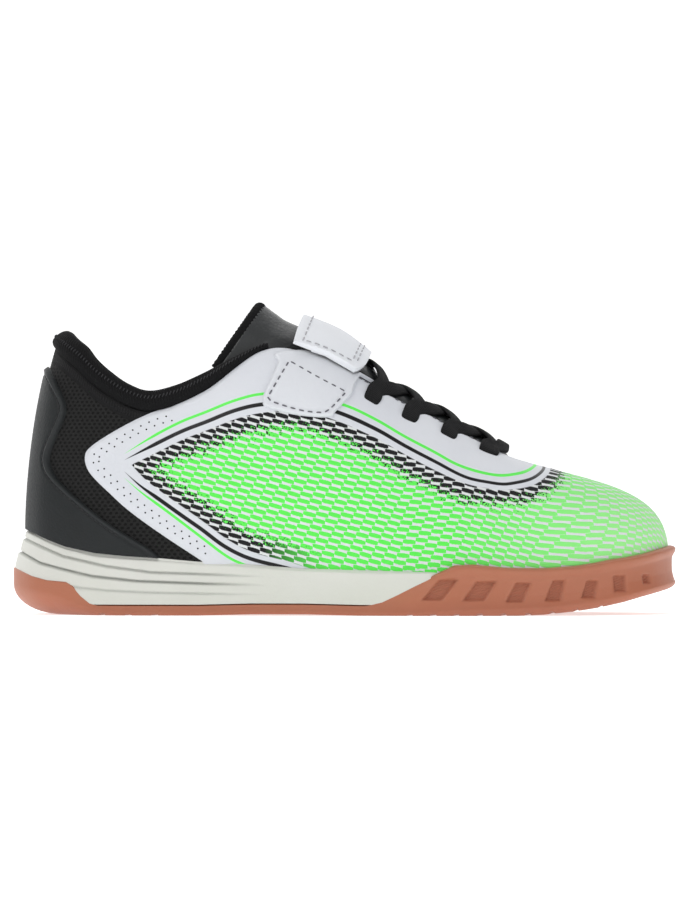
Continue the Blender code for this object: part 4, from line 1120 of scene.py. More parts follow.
def make_collar(look):
    """The padded roll round the opening, with its ribbed outer band."""
    side = [k / 2 for k in range(0, 13)] + [COLLAR_END]
    path = np.array([LOOP - r for r in side[:0:-1]] + side)
    rings = []
    for u in path:
        row = min(u, LOOP - u)
        u = np.array(u)
        top = upper_surface(u, np.array(1.0))
        rim = unit(top - upper_surface(u, np.array(.97)))
        out = unit(outward(TOP_EDGE, u) + upper_normal(u, np.array(1.0)))
        up = unit(rim + np.array([0.0, 0.0, 1.0]))
        rise = COLLAR_HEIGHT * float(shares(COLLAR_RISE, row))
        thick = max(COLLAR_PADDING * float(shares(COLLAR_THICK, row)), WALL + COLLAR_SEAT + .0008)
        length = 3 * np.linalg.norm(top - plan(u)) * around(UPPER, u)
        tail = COLLAR_TAIL * float(np.interp(row, [4.5, COLLAR_END], [1, .35]))
        bulge = COLLAR_BULGE * min(1, 1.6 * rise / COLLAR_HEIGHT)
        ring = [top + rim * GAP + out * PANEL_STEP * .6, top + out * bulge + up * (GAP + rise * .38)]
        for inward, height in COLLAR_ROLL:
            ring.append(top - out * thick * inward + up * (GAP + rise * height))
        for depth, back in ((.30, 1.0), (.65, .75), (1.0, .35)):
            padding = max((thick - WALL - COLLAR_SEAT) * back, .0008)
            ring.append(upper_offset(u, 1 - tail * depth / length, -WALL - COLLAR_SEAT - padding))
        ring.append(upper_offset(u, 1 - tail / length, -WALL - COLLAR_SEAT))
        ring.append(upper_offset(u, 1 - tail * .5 / length, -WALL - COLLAR_SEAT))
        ring.append(upper_offset(u, 1.0, -WALL - GAP) + rim * 2 * GAP)
        rings.append(np.array(ring))
    fine = skin(np.array(rings), 16, 6, ends=(.8, .45))
    count = fine.shape[1]
    turn = np.broadcast_to(np.arange(count) / count, fine.shape[:2])
    collar = ring_piece("collar_roll", fine, [look["knit"]],
                        {"collar_along": lengths_along(fine), "collar_turn": turn})
    settle(collar, "black_knit", "collar")
    middles = fine[3:-3].mean(axis=1)
    lines = []
    for share in ZIGZAG_LINES:
        line = fine[3:-3, int(share * count)]
        normals = unit(line - middles)
        lines.append((line + normals * .0001, normals))
    zigzag_seam("collar_zigzag", *lines[0], lines[1][0], look["black_thread"])


def zigzag_seam(name, path, normals, other, finish):
    """Short stitches side by side that lean from one line to another."""
    places = travelled(path)
    marks = np.linspace(0, places[-1], int(places[-1] / ZIGZAG_PITCH))
    runs = []
    for mark, following in zip(marks[:-1], marks[1:]):
        a, b = (read_at(mark, places, line) for line in (path, other))
        lean = (read_at(following, places, path) - a) * .55
        normal = read_at(mark, places, normals)
        runs.append((np.array([a, b + lean]), np.array([normal, normal])))
    threads(name, runs, *ZIGZAG_THREAD, finish, "black_knit")


def make_laces(look, sizes):
    """Flat elastic laces that cross over the tongue and dive through the slots."""
    slot_q = 1 + (SLOT_INSET + LACE_REACH) / ACROSS_UNIT
    half = sizes.lace_width / 2
    for index in range(SLOT_PAIRS - 1):
        rear, front = slot_place(index), slot_place(index + 1)
        under_strap = index == 0
        lateral_end = HIDDEN_LACE_END if under_strap else slot_q
        under = lace_strand((front, slot_q), (rear, -lateral_end), .0, half, .8, not under_strap)
        over = lace_strand((front, -slot_q), (rear, slot_q), LACE_HUMP, half, -.8)
        for label, rings in (("under", under), ("over", over)):
            strand = ring_piece("lace_strand_%d_%s" % (index + 1, label), rings, [look["lace"]],
                                lace_values(rings))
            settle(strand, "black_knit", "lace_crossing_%d" % (index + 1))
    last = slot_place(SLOT_PAIRS - 1) + .001
    bar = lace_strand((last, -slot_q), (last, slot_q), LACE_HUMP, half, .0)
    settle(ring_piece("lace_front_bar", bar, [look["lace"]], lace_values(bar)), "black_knit", "lace_bar")


def lace_values(strand):
    across = np.arange(strand.shape[1]) / strand.shape[1]
    return {"lace_along": lengths_along(strand), "lace_across": np.broadcast_to(across, strand.shape[:2])}


# A strand's rings: how far along it they lie, and their height from a slot to its middle, which
# is the same back to the other slot; or their height at an end that lies flat under the strap
LACE_STEPS = (.0, .0, .03, .09, .18, .32, .5, .68, .82, .91, .97, 1.0, 1.0)
LACE_DIVE = (-.0022, -.0004, .0006, .0010, .0011, .0008, .0)
LACE_LIES = (.0010, .0009, .0008, .0006)


def lace_strand(start, end, hump, half, twist, end_dives=True):
    """One strand between two slots, with its ends pulled down through them."""
    t = np.array(LACE_STEPS)
    q = start[1] + (end[1] - start[1]) * t
    s = start[0] + (end[0] - start[0]) * ease(t, .16, .84) - LACE_SLANT * ease(np.abs(q), .8, 1.3)
    dive = np.array(LACE_DIVE + LACE_DIVE[-2::-1])
    if not end_dives:
        dive[-len(LACE_LIES):] = LACE_LIES
    crown = np.interp(np.abs(q), [0, .7, 1.0, 1.5], [-.0010, -.0008, -.0001, 0])
    lift = dive + crown + hump * np.sin(t * math.pi) ** 2
    point, normal = instep_frame(s, q)
    centre = point + normal * lift[:, None]
    raised = point + normal * np.maximum(lift, .001)[:, None]
    travel = unit(np.gradient(raised + np.linspace(0, 1e-5, len(t))[:, None], axis=0))
    across = unit(np.cross(normal, travel))
    pull = np.exp(-(np.minimum(t, 1 - t) / .13) ** 2)[:, None]
    flip = np.sign(across @ RIDGE)[:, None]
    across = unit(across * flip * (1 - pull) + RIDGE * pull)
    facing = np.cross(travel, across)
    normal = unit(facing * np.sign(np.einsum("ij,ij->i", facing, normal))[:, None])
    roll = twist * np.sin(t * 2 * math.pi) * .35
    side = across * np.cos(roll)[:, None] + normal * np.sin(roll)[:, None]
    face = normal * np.cos(roll)[:, None] - across * np.sin(roll)[:, None]
    turns = np.linspace(0, 2 * math.pi, 16, endpoint=False)
    narrow = 1 - .22 * np.exp(-((t - .5) / .2) ** 2) - .30 * np.exp(-(np.minimum(t, 1 - t) / .03) ** 2)
    wide = half * np.sign(np.cos(turns)) * np.abs(np.cos(turns)) ** .45
    thick = LACE_THICKNESS * .54 * np.sign(np.sin(turns)) * np.abs(np.sin(turns)) ** .8
    rings = (centre[:, None] + side[:, None] * wide[None, :, None] * narrow[:, None, None]
             + face[:, None] * thick[None, :, None])
    return skin(rings, 7, 2, ends=(.9, .6))


def even_stations(count):
    """Stations on both sides whose places are spread evenly along the shoe."""
    fine = np.linspace(0, TOE, 1200)
    side = []
    for flip in (False, True):
        u = LOOP - fine if flip else fine
        places = travelled(plan(u % LOOP))
        side.append(np.interp(np.linspace(0, places[-1], count), places, u))
    return np.concatenate([side[0][:-1], side[1][:0:-1]]) % LOOP


def across_floor(loop, steps):
    """Rows of points that span a loop from its lateral side to its medial one."""
    count = len(loop)
    half = count // 2
    lateral = loop[:half + 1]
    medial = np.concatenate([loop[:1], loop[:half - 1:-1]])
    t = np.linspace(0, 1, steps)[:, None, None]
    return lateral * (1 - t) + medial * t


def recess_depth(x, z):
    """How deep the slanted recesses are pressed into the gum's side."""
    depth = np.zeros_like(z)
    for recess in RECESSES + [TOE_RECESS]:
        foot, head = recess.foot_up * INSTEP_HEIGHT, recess.head_up * INSTEP_HEIGHT
        corners = np.array([(x_of(recess.foot_rear) - RECESS_SPREAD, foot),
                            (x_of(recess.foot_front) + RECESS_SPREAD, foot),
                            (x_of(recess.head_front) + RECESS_SPREAD, head),
                            (x_of(recess.head_rear) - RECESS_SPREAD, head)])
        nearest = distance_to(np.concatenate([corners, corners[:1]]), x, z)
        nearest = np.where(inside(corners, x, z), nearest, -nearest)
        depth = np.maximum(depth, ease(nearest, -.0003, .0003))
    return depth * RECESS_DEPTH, depth


def make_outsole(look):
    """The gum rubber sole: bevelled heel, recessed toe wall with its bead, and tread."""
    u = even_stations(SOLE_STATIONS)
    along = place(u)
    bevel = shares(BEVEL, along) * HEEL_BEVEL
    rise = shares(BEVEL_RISE, along) * HEEL_BEVEL_RISE
    floor = ground(u)
    full = floor + rise
    top = gum_top(u)
    relief = shares(RELIEF, along) * GUM_RELIEF
    loops = []
    for angle in np.linspace(0, math.pi / 2, 12):
        inward = bevel * (1 - math.sin(angle))
        loops.append(beside_outline(u, floor + rise * (1 - math.cos(angle)), -inward))
    for level in np.linspace(.03, 1.0, 34):
        inward = relief * shares(TOE_WALL, level) + .0004 * ease(level, .94, 1)
        loops.append(beside_outline(u, full + (top - full) * level, -inward))
    loops = np.array(loops)
    press, mask = recess_depth(loops[..., 0], loops[..., 2])
    out = np.broadcast_to(outward(OUTLINE, u), loops.shape)
    loops = loops - out * press[..., None]
    lip = shares(HIDDEN_LIP, along) * MIDSOLE_WALL + GAP
    inner = [beside_upper(u, np.maximum(top - drop, footbed(u) + GAP), lip) for drop in (0, .0006, .004)]
    for ring, drop in zip(inner, (0, .0006, .004)):
        ring[:, 2] = np.maximum(top - drop, floor + .001)
    inner[0] = inner[0] * .5 + loops[-1] * .5
    inner[0][:, 2] = top + .0001
    rings = np.concatenate([loops, np.array(inner)])
    bottom = across_floor(loops[0], 44)
    bottom[..., 2] += tread_depth(bottom) * TREAD_DEPTH
    rings[:6, :, 2] = np.maximum(rings[:6, :, 2], (floor + TREAD_DEPTH) * tread_depth(rings[:6]))
    wall_faces = grid_faces(len(rings), rings.shape[1], ring=True)
    start = rings.shape[0] * rings.shape[1]
    floor_faces = grid_faces(bottom.shape[0], bottom.shape[1], start=start)
    points = np.concatenate([rings.reshape(-1, 3), bottom.reshape(-1, 3)])
    # The recess mask also places the gum's painted shade.
    recess = np.concatenate([mask.ravel(), np.zeros(points.shape[0] - mask.size)])
    sole = add_piece("gum_outsole", points, np.concatenate([wall_faces, floor_faces]), [look["gum"]],
                     {"recess": recess}, weld=True)
    settle(sole, "gum_rubber", "outsole")


def tread_depth(points):
    """1 in the chevron grooves across the tread, 0 between them."""
    x, y = points[..., 0], points[..., 1]
    depth = np.zeros_like(x)
    for share in GROOVE_PLACES:
        middle = x_of(share) + GROOVE_SWEEP * (1 - np.abs(y) / (.6 * BALL_WIDTH))
        depth = np.maximum(depth, 1 - ease(np.abs(x - middle), GROOVE_WIDTH * .25, GROOVE_WIDTH * .55))
    return depth


# The midsole's ribs on the side view, from the top, as (x, z) in millimetres
RIB_LINES = [[(-104, 26.0), (-100.5, 23.3), (-88.1, 18.3), (-73.9, 15.2), (-59.6, 13.3), (-32.6, 12.4),
              (-15, 12.0)],
             [(-104, 20.6), (-101.5, 19.2), (-95.3, 16.1), (-88.1, 14.3), (-78.5, 12.1), (-64.2, 10.6),
              (-42.8, 9.8), (-20, 9.5)],
             [(-104, 10.0), (-84.2, 8.8), (-73.9, 7.8), (-59.6, 7.1), (-42.8, 6.8), (-20, 6.7)]]
RIB_DEPTHS = (.0010, .0013, .0006)
RIB_SOFT = .00035
RIBS_FADE = (-.048, -.022)


def make_midsole(look):
    """The pale foam midsole with stepped ribs at the heel that fade towards the waist."""
    u = even_stations(MIDSOLE_STATIONS)
    along = place(u)
    lip = shares(HIDDEN_LIP, along) * MIDSOLE_WALL
    floor = gum_floor(u) + GAP
    top = midsole_top(u)
    seam = np.clip(gum_top(u) - .0006, floor, top)
    flare = shares(FLARE, along) * HEEL_FLARE
    shown = np.clip((top - seam - .0004) / .0012, 0, 1)[:, None]
    loops = []
    hollow = []
    for level in np.linspace(0, 1, MIDSOLE_LEVELS):
        height = seam + (top - seam) * level
        face = beside_outline(u, height, -flare * level)
        x = face[:, 0]
        inward = np.zeros_like(height)
        hollows = np.zeros_like(height)
        for line, depth in zip(RIB_LINES, RIB_DEPTHS):
            line = np.array(line) * MM
            middle = np.interp(x, line[:, 0], line[:, 1])
            fade = 1 - ease(x, *RIBS_FADE)
            groove = beside_edge(height, middle, RIB_SOFT)
            inward += fade * depth * (.35 * ease(height - middle, -.0003, .0005) + groove * .8)
            # The groove mask kept here is the painted shade in the rib grooves, for the foam's colour.
            hollows += fade * groove * depth / max(RIB_DEPTHS)
        inward += .0008 * ease(level, .90, 1.0) ** 2
        face = face - outward(OUTLINE, u) * inward[:, None]
        hidden = beside_upper(u, np.maximum(height, footbed(u) + GAP), lip)
        hidden[:, 2] = height
        loops.append(hidden + (face - hidden) * shown)
        hollow.append(hollows)
    crest = beside_upper(u, np.maximum(top, footbed(u) + GAP), np.minimum(GAP, lip))
    crest[:, 2] = top
    middle = loops[-1] * .4 + crest * .6
    middle[:, 2] = top + .00025 * shown[:, 0]
    well = crest.copy()
    well[:, 2] = np.minimum(top, footbed(u)) - .001
    loops += [middle, crest, well]
    hollow += [np.zeros_like(top)] * 3
    rings = np.array(loops)
    sole = add_piece("foam_midsole", rings.reshape(-1, 3), grid_faces(*rings.shape[:2], ring=True),
                     [look["foam"]], {"hollow": np.array(hollow)})
    settle(sole, "pale_foam", "midsole")


# The sock liner's turned edge, as (metres inwards, share of its thickness)
LINER_EDGE = ((.0008, 0), (.0002, .35), (.0, .7), (.0005, .95), (.0014, 1.04), (.004, 1.02))


def make_insole(look):
    """The loose sock liner, slightly cupped, with a turned edge."""
    u = even_stations(INSOLE_STATIONS)
    loops = []
    for inset, height in LINER_EDGE:
        level = footbed(u) + GAP + INSOLE_THICKNESS * height
        ring = beside_upper(u, level + GAP, np.full_like(u, -WALL - 2 * GAP - inset))
        ring[:, 2] = level
        loops.append(ring)
    top = across_floor(loops[-1], 26)
    rings = np.array(loops)
    faces = grid_faces(rings.shape[0], rings.shape[1], ring=True)
    start = rings.shape[0] * rings.shape[1]
    floor_faces = grid_faces(top.shape[0], top.shape[1], start=start)
    bottom = across_floor(loops[0], 10)
    under = grid_faces(bottom.shape[0], bottom.shape[1], start=start + top.shape[0] * top.shape[1])
    points = np.concatenate([rings.reshape(-1, 3), top.reshape(-1, 3), bottom.reshape(-1, 3)])
    liner = add_piece("sock_liner", points, np.concatenate([faces, floor_faces, under]), [look["lining"]],
                      weld=True)
    settle(liner, "sock_lining", "insole")


def print_dashes(made, toe):
    """1 on the print's slanted dashes, which touch their neighbours in the row."""
    row = made.number("print_row")
    dash = made.number("print_dash")
    cell = row.whole()
    wander = (made.grain(.0030, 1.0) - .5) * .14
    ragged = (made.grain(.00032) - .5) * .16
    inked = None
    for step in (-1, 0, 1):
        level = row - cell - .5 - step
        turn = (dash - (cell + step) * DASH_SHIFT + wander).fraction() - .5
        ends = turn * turn * turn * turn * DASH_TAPER
        reach = DASH_HALF + toe * .03
        mark = ((level + turn * DASH_LEAN).size() + ends + ragged).below(reach, .07)
        inked = inked.most(mark) if inked else mark
    return inked


def ink_colour(made, colours, printed, x, z):
    """Green ink that breaks up into black near the print's edge, and fades towards the toe."""
    reach = 5.2 - x.below(-52, 14) * .8 - x.above(40, 20) * 1.2
    scatter = (made.grain(.00045, 1.0) - .5) * 11.0 + (made.grain(.0018, 1.0) - .5) * 5.0
    low_side = z.below(.024, .004) * x.above(-15, 20)
    near_edge = (printed + scatter).below(reach, 1.0) * (1 - low_side)
    green = made.blend(colours.green, colours.pale_green, x.above(70, 75))
    return made.blend(green, colours.ink, near_edge)


def heel_net(made, colours, z):
    """The open net at the heel with its ribbed trim: its colour and its height."""
    lap = made.number("around_lap") / MM
    down = made.number("down_lap") / MM
    row = z / MM / NET_ROW
    across = (lap / NET_PITCH + row.whole() * .5).fraction() - .5
    up = row.fraction() - .5
    hole = (across * across * 1.1 + up * up * .75).join("SQRT").below(.30, .14)
    yarn = made.grain(.00028)
    # The mesh's openings: dark backing with painted shade in them.
    net = made.blend(colours.net_yarn, colours.net_hole_shade, hole)
    band = down.below(3.9, .3)
    ribs = ((lap / .95 + down * .12).fraction() - .5).size() * 2
    column = (down - 1.7).size().below(1.05, .2)
    # The trim's raised ribs get a painted highlight; the yarn noise is random tone.
    trim = made.blend(colours.knit, colours.knit_fuzz_and_highlight, yarn * .4 + ribs * column * .6)
    height = ((1 - hole) * .75 + yarn * .22) * (1 - band)
    height = height + (ribs * column * .8 + yarn * .3 + column * .3) * band
    return made.blend(net, trim, band), height


def printed_mesh(colours):
    """The upper's cloth: bare mesh at the heel, a smooth white border, its lines and the print."""
    made = Finish("printed_mesh", specular_ior_level=.3)
    panel = made.number("panel_edge") / MM
    printed = made.number("print_edge") / MM
    x, _, z = made.parts(made.place())
    x = x / MM
    inked = print_dashes(made, x.above(62, 60))
    ground_tone = made.blend(colours.print_ground, colours.white, made.grain(.0009))
    cloth = made.blend(ground_tone, ink_colour(made, colours, printed, x, z), inked)
    border = made.blend(colours.white, colours.shade, made.grain(.02))
    in_print = printed.above(0, .25)
    colour = made.blend(border, cloth, in_print)
    thin = x.above(-63.5, 10)
    lined = x.above(-68.2, .6)
    for name, tone, wide in (("green_line", colours.green, thin * .42),
                             ("black_line", colours.ink, thin * .60 - x.above(20, 30) * .14)):
        line = (made.number(name) / MM).size().below(wide, .14) * lined
        colour = made.blend(colour, tone, line)
    net, net_height = heel_net(made, colours, z)
    seen = panel.above(0, .12)
    colour = made.blend(net, colour, seen)
    weave = ((made.number("print_row") * 3).fraction() - .5).size() * .35
    weave = weave + made.grain(.00045) * .5 + inked * .25
    film = made.cells(.0011) * .25 + made.grain(.0003) * .10
    front = film * (1 - in_print) + weave * in_print
    groove = printed.size().below(.28, .3) * .30
    height = net_height * (1 - seen) * 1.6 + (front - groove) * seen
    shine = .62 * in_print + .36 * (1 - in_print)
    rough = (shine + made.grain(.004) * .10) * seen + .86 * (1 - seen)
    return made.set(base_color=colour, roughness=rough, normal=made.bump(height, .00022))


def leather_finish(name, colour, dark, depth):
    """Coated synthetic leather with a fine grain, soft blotches and duller hollows."""
    made = Finish(name, coat_weight=.10, coat_roughness=.25)
    pores = made.cells(LEATHER_GRAIN)
    fine = made.grain(LEATHER_GRAIN * .35, 3.0)
    patch = made.grain(.018)
    tone = made.blend(colour, dark, patch * .5 + fine * .2)
    height = pores * .6 + fine * .25 + made.grain(.006) * .5
    rough = patch * .12 + pores * .10 + .32
    return made.set(base_color=tone, roughness=rough, normal=made.bump(height, depth))


def counter_finish(colours):
    """Black coated leather with soft blotches and a painted highlight on its piped rim."""
    made = Finish("black_synthetic", specular_ior_level=.2)
    inset = made.number("rim_inset") / MM
    # Painted highlight on the raised piping of the rim.
    rim = (inset - .7).size().below(.35, .4)
    pores = made.cells(.0008)
    patch = made.grain(.016)
    tone = made.blend(colours.black, colours.black_blotch_and_highlight, patch * .55 + rim * .5)
    height = pores * .55 + made.grain(.0003, 3.0) * .3
    rough = .40 + patch * .14 + pores * .10
    return made.set(base_color=tone, roughness=rough, normal=made.bump(height, .00010))


def knit_finish(colours):
    """Ribbed black lining cloth with raised threads, lighter in random fuzz and with a painted highlight on
    its raised ribs.
    """
    made = Finish("black_knit", specular_ior_level=.15)
    along = made.number("collar_along") / MM
    turn = made.number("collar_turn")
    ribs = ((along / .95 + turn * 9).fraction() - .5).size() * 2
    band = (turn - .13).size().below(.075, .02)
    weave = made.cells(.00062)
    fuzz = made.grain(.00025, 3.0)
    # The lighter tone is random fuzz plus a painted highlight on the band's raised ribs.
    tone = made.blend(colours.knit, colours.knit_fuzz_and_highlight, fuzz * .5 + ribs * band * .35)
    height = weave * .5 + fuzz * .3 + ribs * band * .9
    return made.set(base_color=tone, roughness=.80 + fuzz * .15, normal=made.bump(height, .00030))


def lace_finish(colours):
    """Flat woven elastic with a herringbone of fine cords, lighter in random fuzz and with a painted
    highlight on the raised cords.
    """
    made = Finish("lace_elastic", specular_ior_level=.18)
    along = made.number("lace_along") / MM
    across = made.number("lace_across")
    fold = ((across * 2).fraction() - .5).size()
    cords = ((along / .75 + fold * 3.2).fraction() - .5).size() * 2
    columns = ((across * 22).fraction() - .5).size() * 2
    fuzz = made.grain(.0002, 3.0)
    # The lighter tone is random fuzz plus a painted highlight on the raised cords.
    tone = made.blend(colours.lace, colours.lace_fuzz_and_highlight, cords * .45 + fuzz * .25)
    height = cords * .6 + columns * .4 + fuzz * .25
    return made.set(base_color=tone, roughness=.72 + fuzz * .2, normal=made.bump(height, .00022))


def gum_finish(colours):
    """Moulded gum rubber: warm, slightly cloudy, darker towards the bottom, with fine ribs and painted
    shade in the side's recesses.
    """
    made = Finish("gum_rubber", subsurface_weight=.05)
    x, _, z = made.parts(made.place())
    recess = made.number("recess")
    cloud = made.grain(.012, 3.0)
    speck = made.grain(.0005)
    tone = made.blend(colours.gum, colours.gum_dark, cloud * .55)
    # Painted shade in the side's recesses.
    tone = made.blend(tone, colours.gum_recess_shade, recess * .55)
    # Darker towards the bottom.
    low = z.below(.0035, .004)
    tone = made.blend(tone, colours.gum_recess_shade, low * .30)
    ribs = ((z * 1250 - x * 500).fraction() - .5).size() * 2
    height = speck * .25 + made.grain(.0016) * .3 + ribs * recess * .45
    rough = .40 + cloud * .12 + recess * .18
    return made.set(base_color=tone, roughness=rough, normal=made.bump(height, .00022))


def foam_finish(colours):
    """Painted foam: matt, very finely pebbled, a little greyer low down, with painted shade in the rib
    grooves.
    """
    made = Finish("pale_foam")
    z = made.parts(made.place())[2]
    cloud = made.grain(.020)
    pebble = made.cells(.00085)
    tone = made.blend(colours.foam, colours.foam_dark, cloud * .5 + z.below(.008, .01) * .35)
    # Painted shade in the rib grooves.
    tone = made.blend(tone, colours.foam_groove_shade, made.number("hollow") * .8)
    height = pebble * .4 + made.grain(.0004) * .3
    return made.set(base_color=tone, roughness=.50 + cloud * .14, normal=made.bump(height, .00009))


def lining_finish(colours):
    made = Finish("sock_lining", specular_ior_level=.15)
    weave = made.cells(.0011)
    fuzz = made.grain(.0003, 3.0)
    tone = made.blend(colours.lining, colours.knit, weave * .6 + fuzz * .3)
    return made.set(base_color=tone, roughness=.85 + fuzz * .1, normal=made.bump(weave + fuzz * .4, .00022))


def tongue_finish(colours):
    """Soft black coated leather with fine creases and a painted highlight on their high places."""
    made = Finish("tongue_leather", coat_weight=.35, coat_roughness=.25)
    pores = made.cells(.0009)
    pulled = made.grain(.0042, 3.0, stretch=(.55, 1.3, .9))
    fine = made.grain(.0003, 3.0)
    # Painted highlight on the creases' high places.
    tone = made.blend(colours.black, colours.black_blotch_and_highlight, pulled * .7)
    height = pores * .45 + fine * .25 + pulled * 2.0
    return made.set(base_color=tone, roughness=.28 + pores * .16 + pulled * .08,
                    normal=made.bump(height, .00016))


def thread_finish(name, colour):
    """Twisted sewing thread."""
    made = Finish(name, specular_ior_level=.3)
    twist = made.grain(.00022)
    shade = tuple(c * .72 for c in colour)
    tone = made.blend(colour, shade, twist)
    return made.set(base_color=tone, roughness=.55 + twist * .25, normal=made.bump(twist, .00006))


def plain_finish(name, colour, roughness, glow=0.0):
    made = Finish(name, specular_ior_level=.15, emission_strength=glow, emission_color=(1, 1, 1, 1))
    grain = made.grain(.0006)
    tone = made.blend(colour, tuple(c * .92 for c in colour), grain * .5)
    return made.set(base_color=tone, roughness=grain * .1 + (roughness - .05))


LOOKS = {}


def looks(colours):
    """Every finish of the shoe, made once and shared by the pieces."""
    if not LOOKS:
        LOOKS.update({
            "printed_mesh": printed_mesh(colours),
            "white_synthetic": leather_finish("white_synthetic", colours.white, colours.shade, .00007),
            "white_strap": leather_finish("white_strap", colours.strap, colours.white, .00009),
            "black_synthetic": counter_finish(colours),
            "tongue_leather": tongue_finish(colours),
            "knit": knit_finish(colours),
            "lace": lace_finish(colours),
            "gum": gum_finish(colours),
            "foam": foam_finish(colours),
            "lining": lining_finish(colours),
            "white_thread": thread_finish("white_thread", (.80, .80, .82)),
            "grey_thread": thread_finish("grey_thread", (.46, .46, .49)),
            # Black hook tape under the strap, partly painted shade for the slit beneath it.
            "hook_and_slit_shade": plain_finish("hook_tape_and_slit_shade", (.10, .10, .10), .9),
            "black_thread": thread_finish("black_thread", (.20, .20, .21)),
            # Painted shade of the needle holes.
            "hole_shade": plain_finish("needle_hole_shade", (.10, .10, .11), .9),
        })
    return LOOKS


# The studio: the picture's height in pixels, metres for each pixel and the height it looks at
FRAME_TALL = 920
PIXEL = 0.0003103
VIEW_MIDDLE = 0.0481
SENSOR_WIDTH = 36.0
FLOOR_FRONT = -2.5
FLOOR_REAR = 3.2
FLOOR_BEND = 0.8
FLOOR_HALF = 5.0
FLOOR_GLOW = 0.58
WALL_TOP = 5.0
# Area lights: name, place, size in metres, watts and colour
LIGHTS = (("key_light", (-.75, -1.1, 1.25), 1.1, 10.6, (1, .99, .97)),
          ("fill_light", (1.1, -1.3, .55), 1.4, 5.0, (.97, .98, 1)),
          ("top_light", (.1, .35, 1.5), 1.3, 6.8, (1, 1, 1)),
          ("rim_light", (-.9, .9, .7), .8, 3.4, (1, 1, 1)))


def make_stage(sizes):
    """A pale floor that curves up behind, soft lights and the camera at the shoe's side."""
    bend = [(FLOOR_REAR + FLOOR_BEND * math.sin(a), FLOOR_BEND - FLOOR_BEND * math.cos(a))
            for a in np.linspace(.1, math.pi / 2, 14)]
    steps = [(FLOOR_FRONT, 0.0), (FLOOR_REAR, 0.0)] + bend + [(FLOOR_REAR + FLOOR_BEND, WALL_TOP)]
    points = [(side * FLOOR_HALF, y, z) for side in (-1, 1) for y, z in steps]
    faces = [(k, k + 1, len(steps) + k + 1, len(steps) + k) for k in range(len(steps) - 1)]
    sweep = add_piece("studio_sweep", points, faces,
                      [plain_finish("pale_floor", (.97, .97, .97), .9, FLOOR_GLOW)])
    for name, place_at, size, power, colour in LIGHTS:
        lamp = bpy.data.lights.new(name, "AREA")
        lamp.size = size
        lamp.energy = power
        lamp.color = colour
        holder = bpy.data.objects.new(name, lamp)
        holder.location = place_at
        holder.rotation_mode = "QUATERNION"
        holder.rotation_quaternion = (Vector((0, 0, .04)) - Vector(place_at)).to_track_quat("-Z", "Y")
        bpy.context.scene.collection.objects.link(holder)
    world = bpy.data.worlds.new("soft_room")
    world.use_nodes = True
    room = world.node_tree.nodes["Background"]
    room.inputs["Color"].default_value = (1, 1, 1, 1)
    room.inputs["Strength"].default_value = sizes.room_light
    bpy.context.scene.world = world
    bpy.context.scene.view_settings.view_transform = "Standard"
    lens = bpy.data.cameras.new("camera")
    lens.sensor_width = SENSOR_WIDTH
    lens.lens = SENSOR_WIDTH * sizes.camera_distance / (FRAME_TALL * PIXEL)
    camera = bpy.data.objects.new("camera", lens)
    camera.location = (0, -sizes.camera_distance - .02, VIEW_MIDDLE)
    camera.rotation_euler = (math.pi / 2, 0, 0)
    bpy.context.scene.collection.objects.link(camera)
    bpy.context.scene.camera = camera


def length_property(label, description, default):
    return bpy.props.FloatProperty(name=label, description=description, default=default, min=0.0,
                                   subtype="DISTANCE", unit="LENGTH", precision=5)


def colour_property(label, description, default):
    return bpy.props.FloatVectorProperty(name=label, description=description, default=default, min=0.0,
                                         max=1.0, size=3, subtype="COLOR_GAMMA")


class ShoeSizes(bpy.types.PropertyGroup):
    """Sizes of the shoe's fine parts and of its studio."""
    lace_width: length_property("Lace width", "Width of the flat elastic lace", .0056)
    stitch_pitch: length_property("Stitch pitch", "Distance from one stitch to the next", .0028)
    camera_distance: length_property("Camera distance", "From the shoe's side to the camera", 2.6)
    room_light: bpy.props.FloatProperty(name="Room light", description="Strength of the even white room",
                                        default=.34, min=0.0)


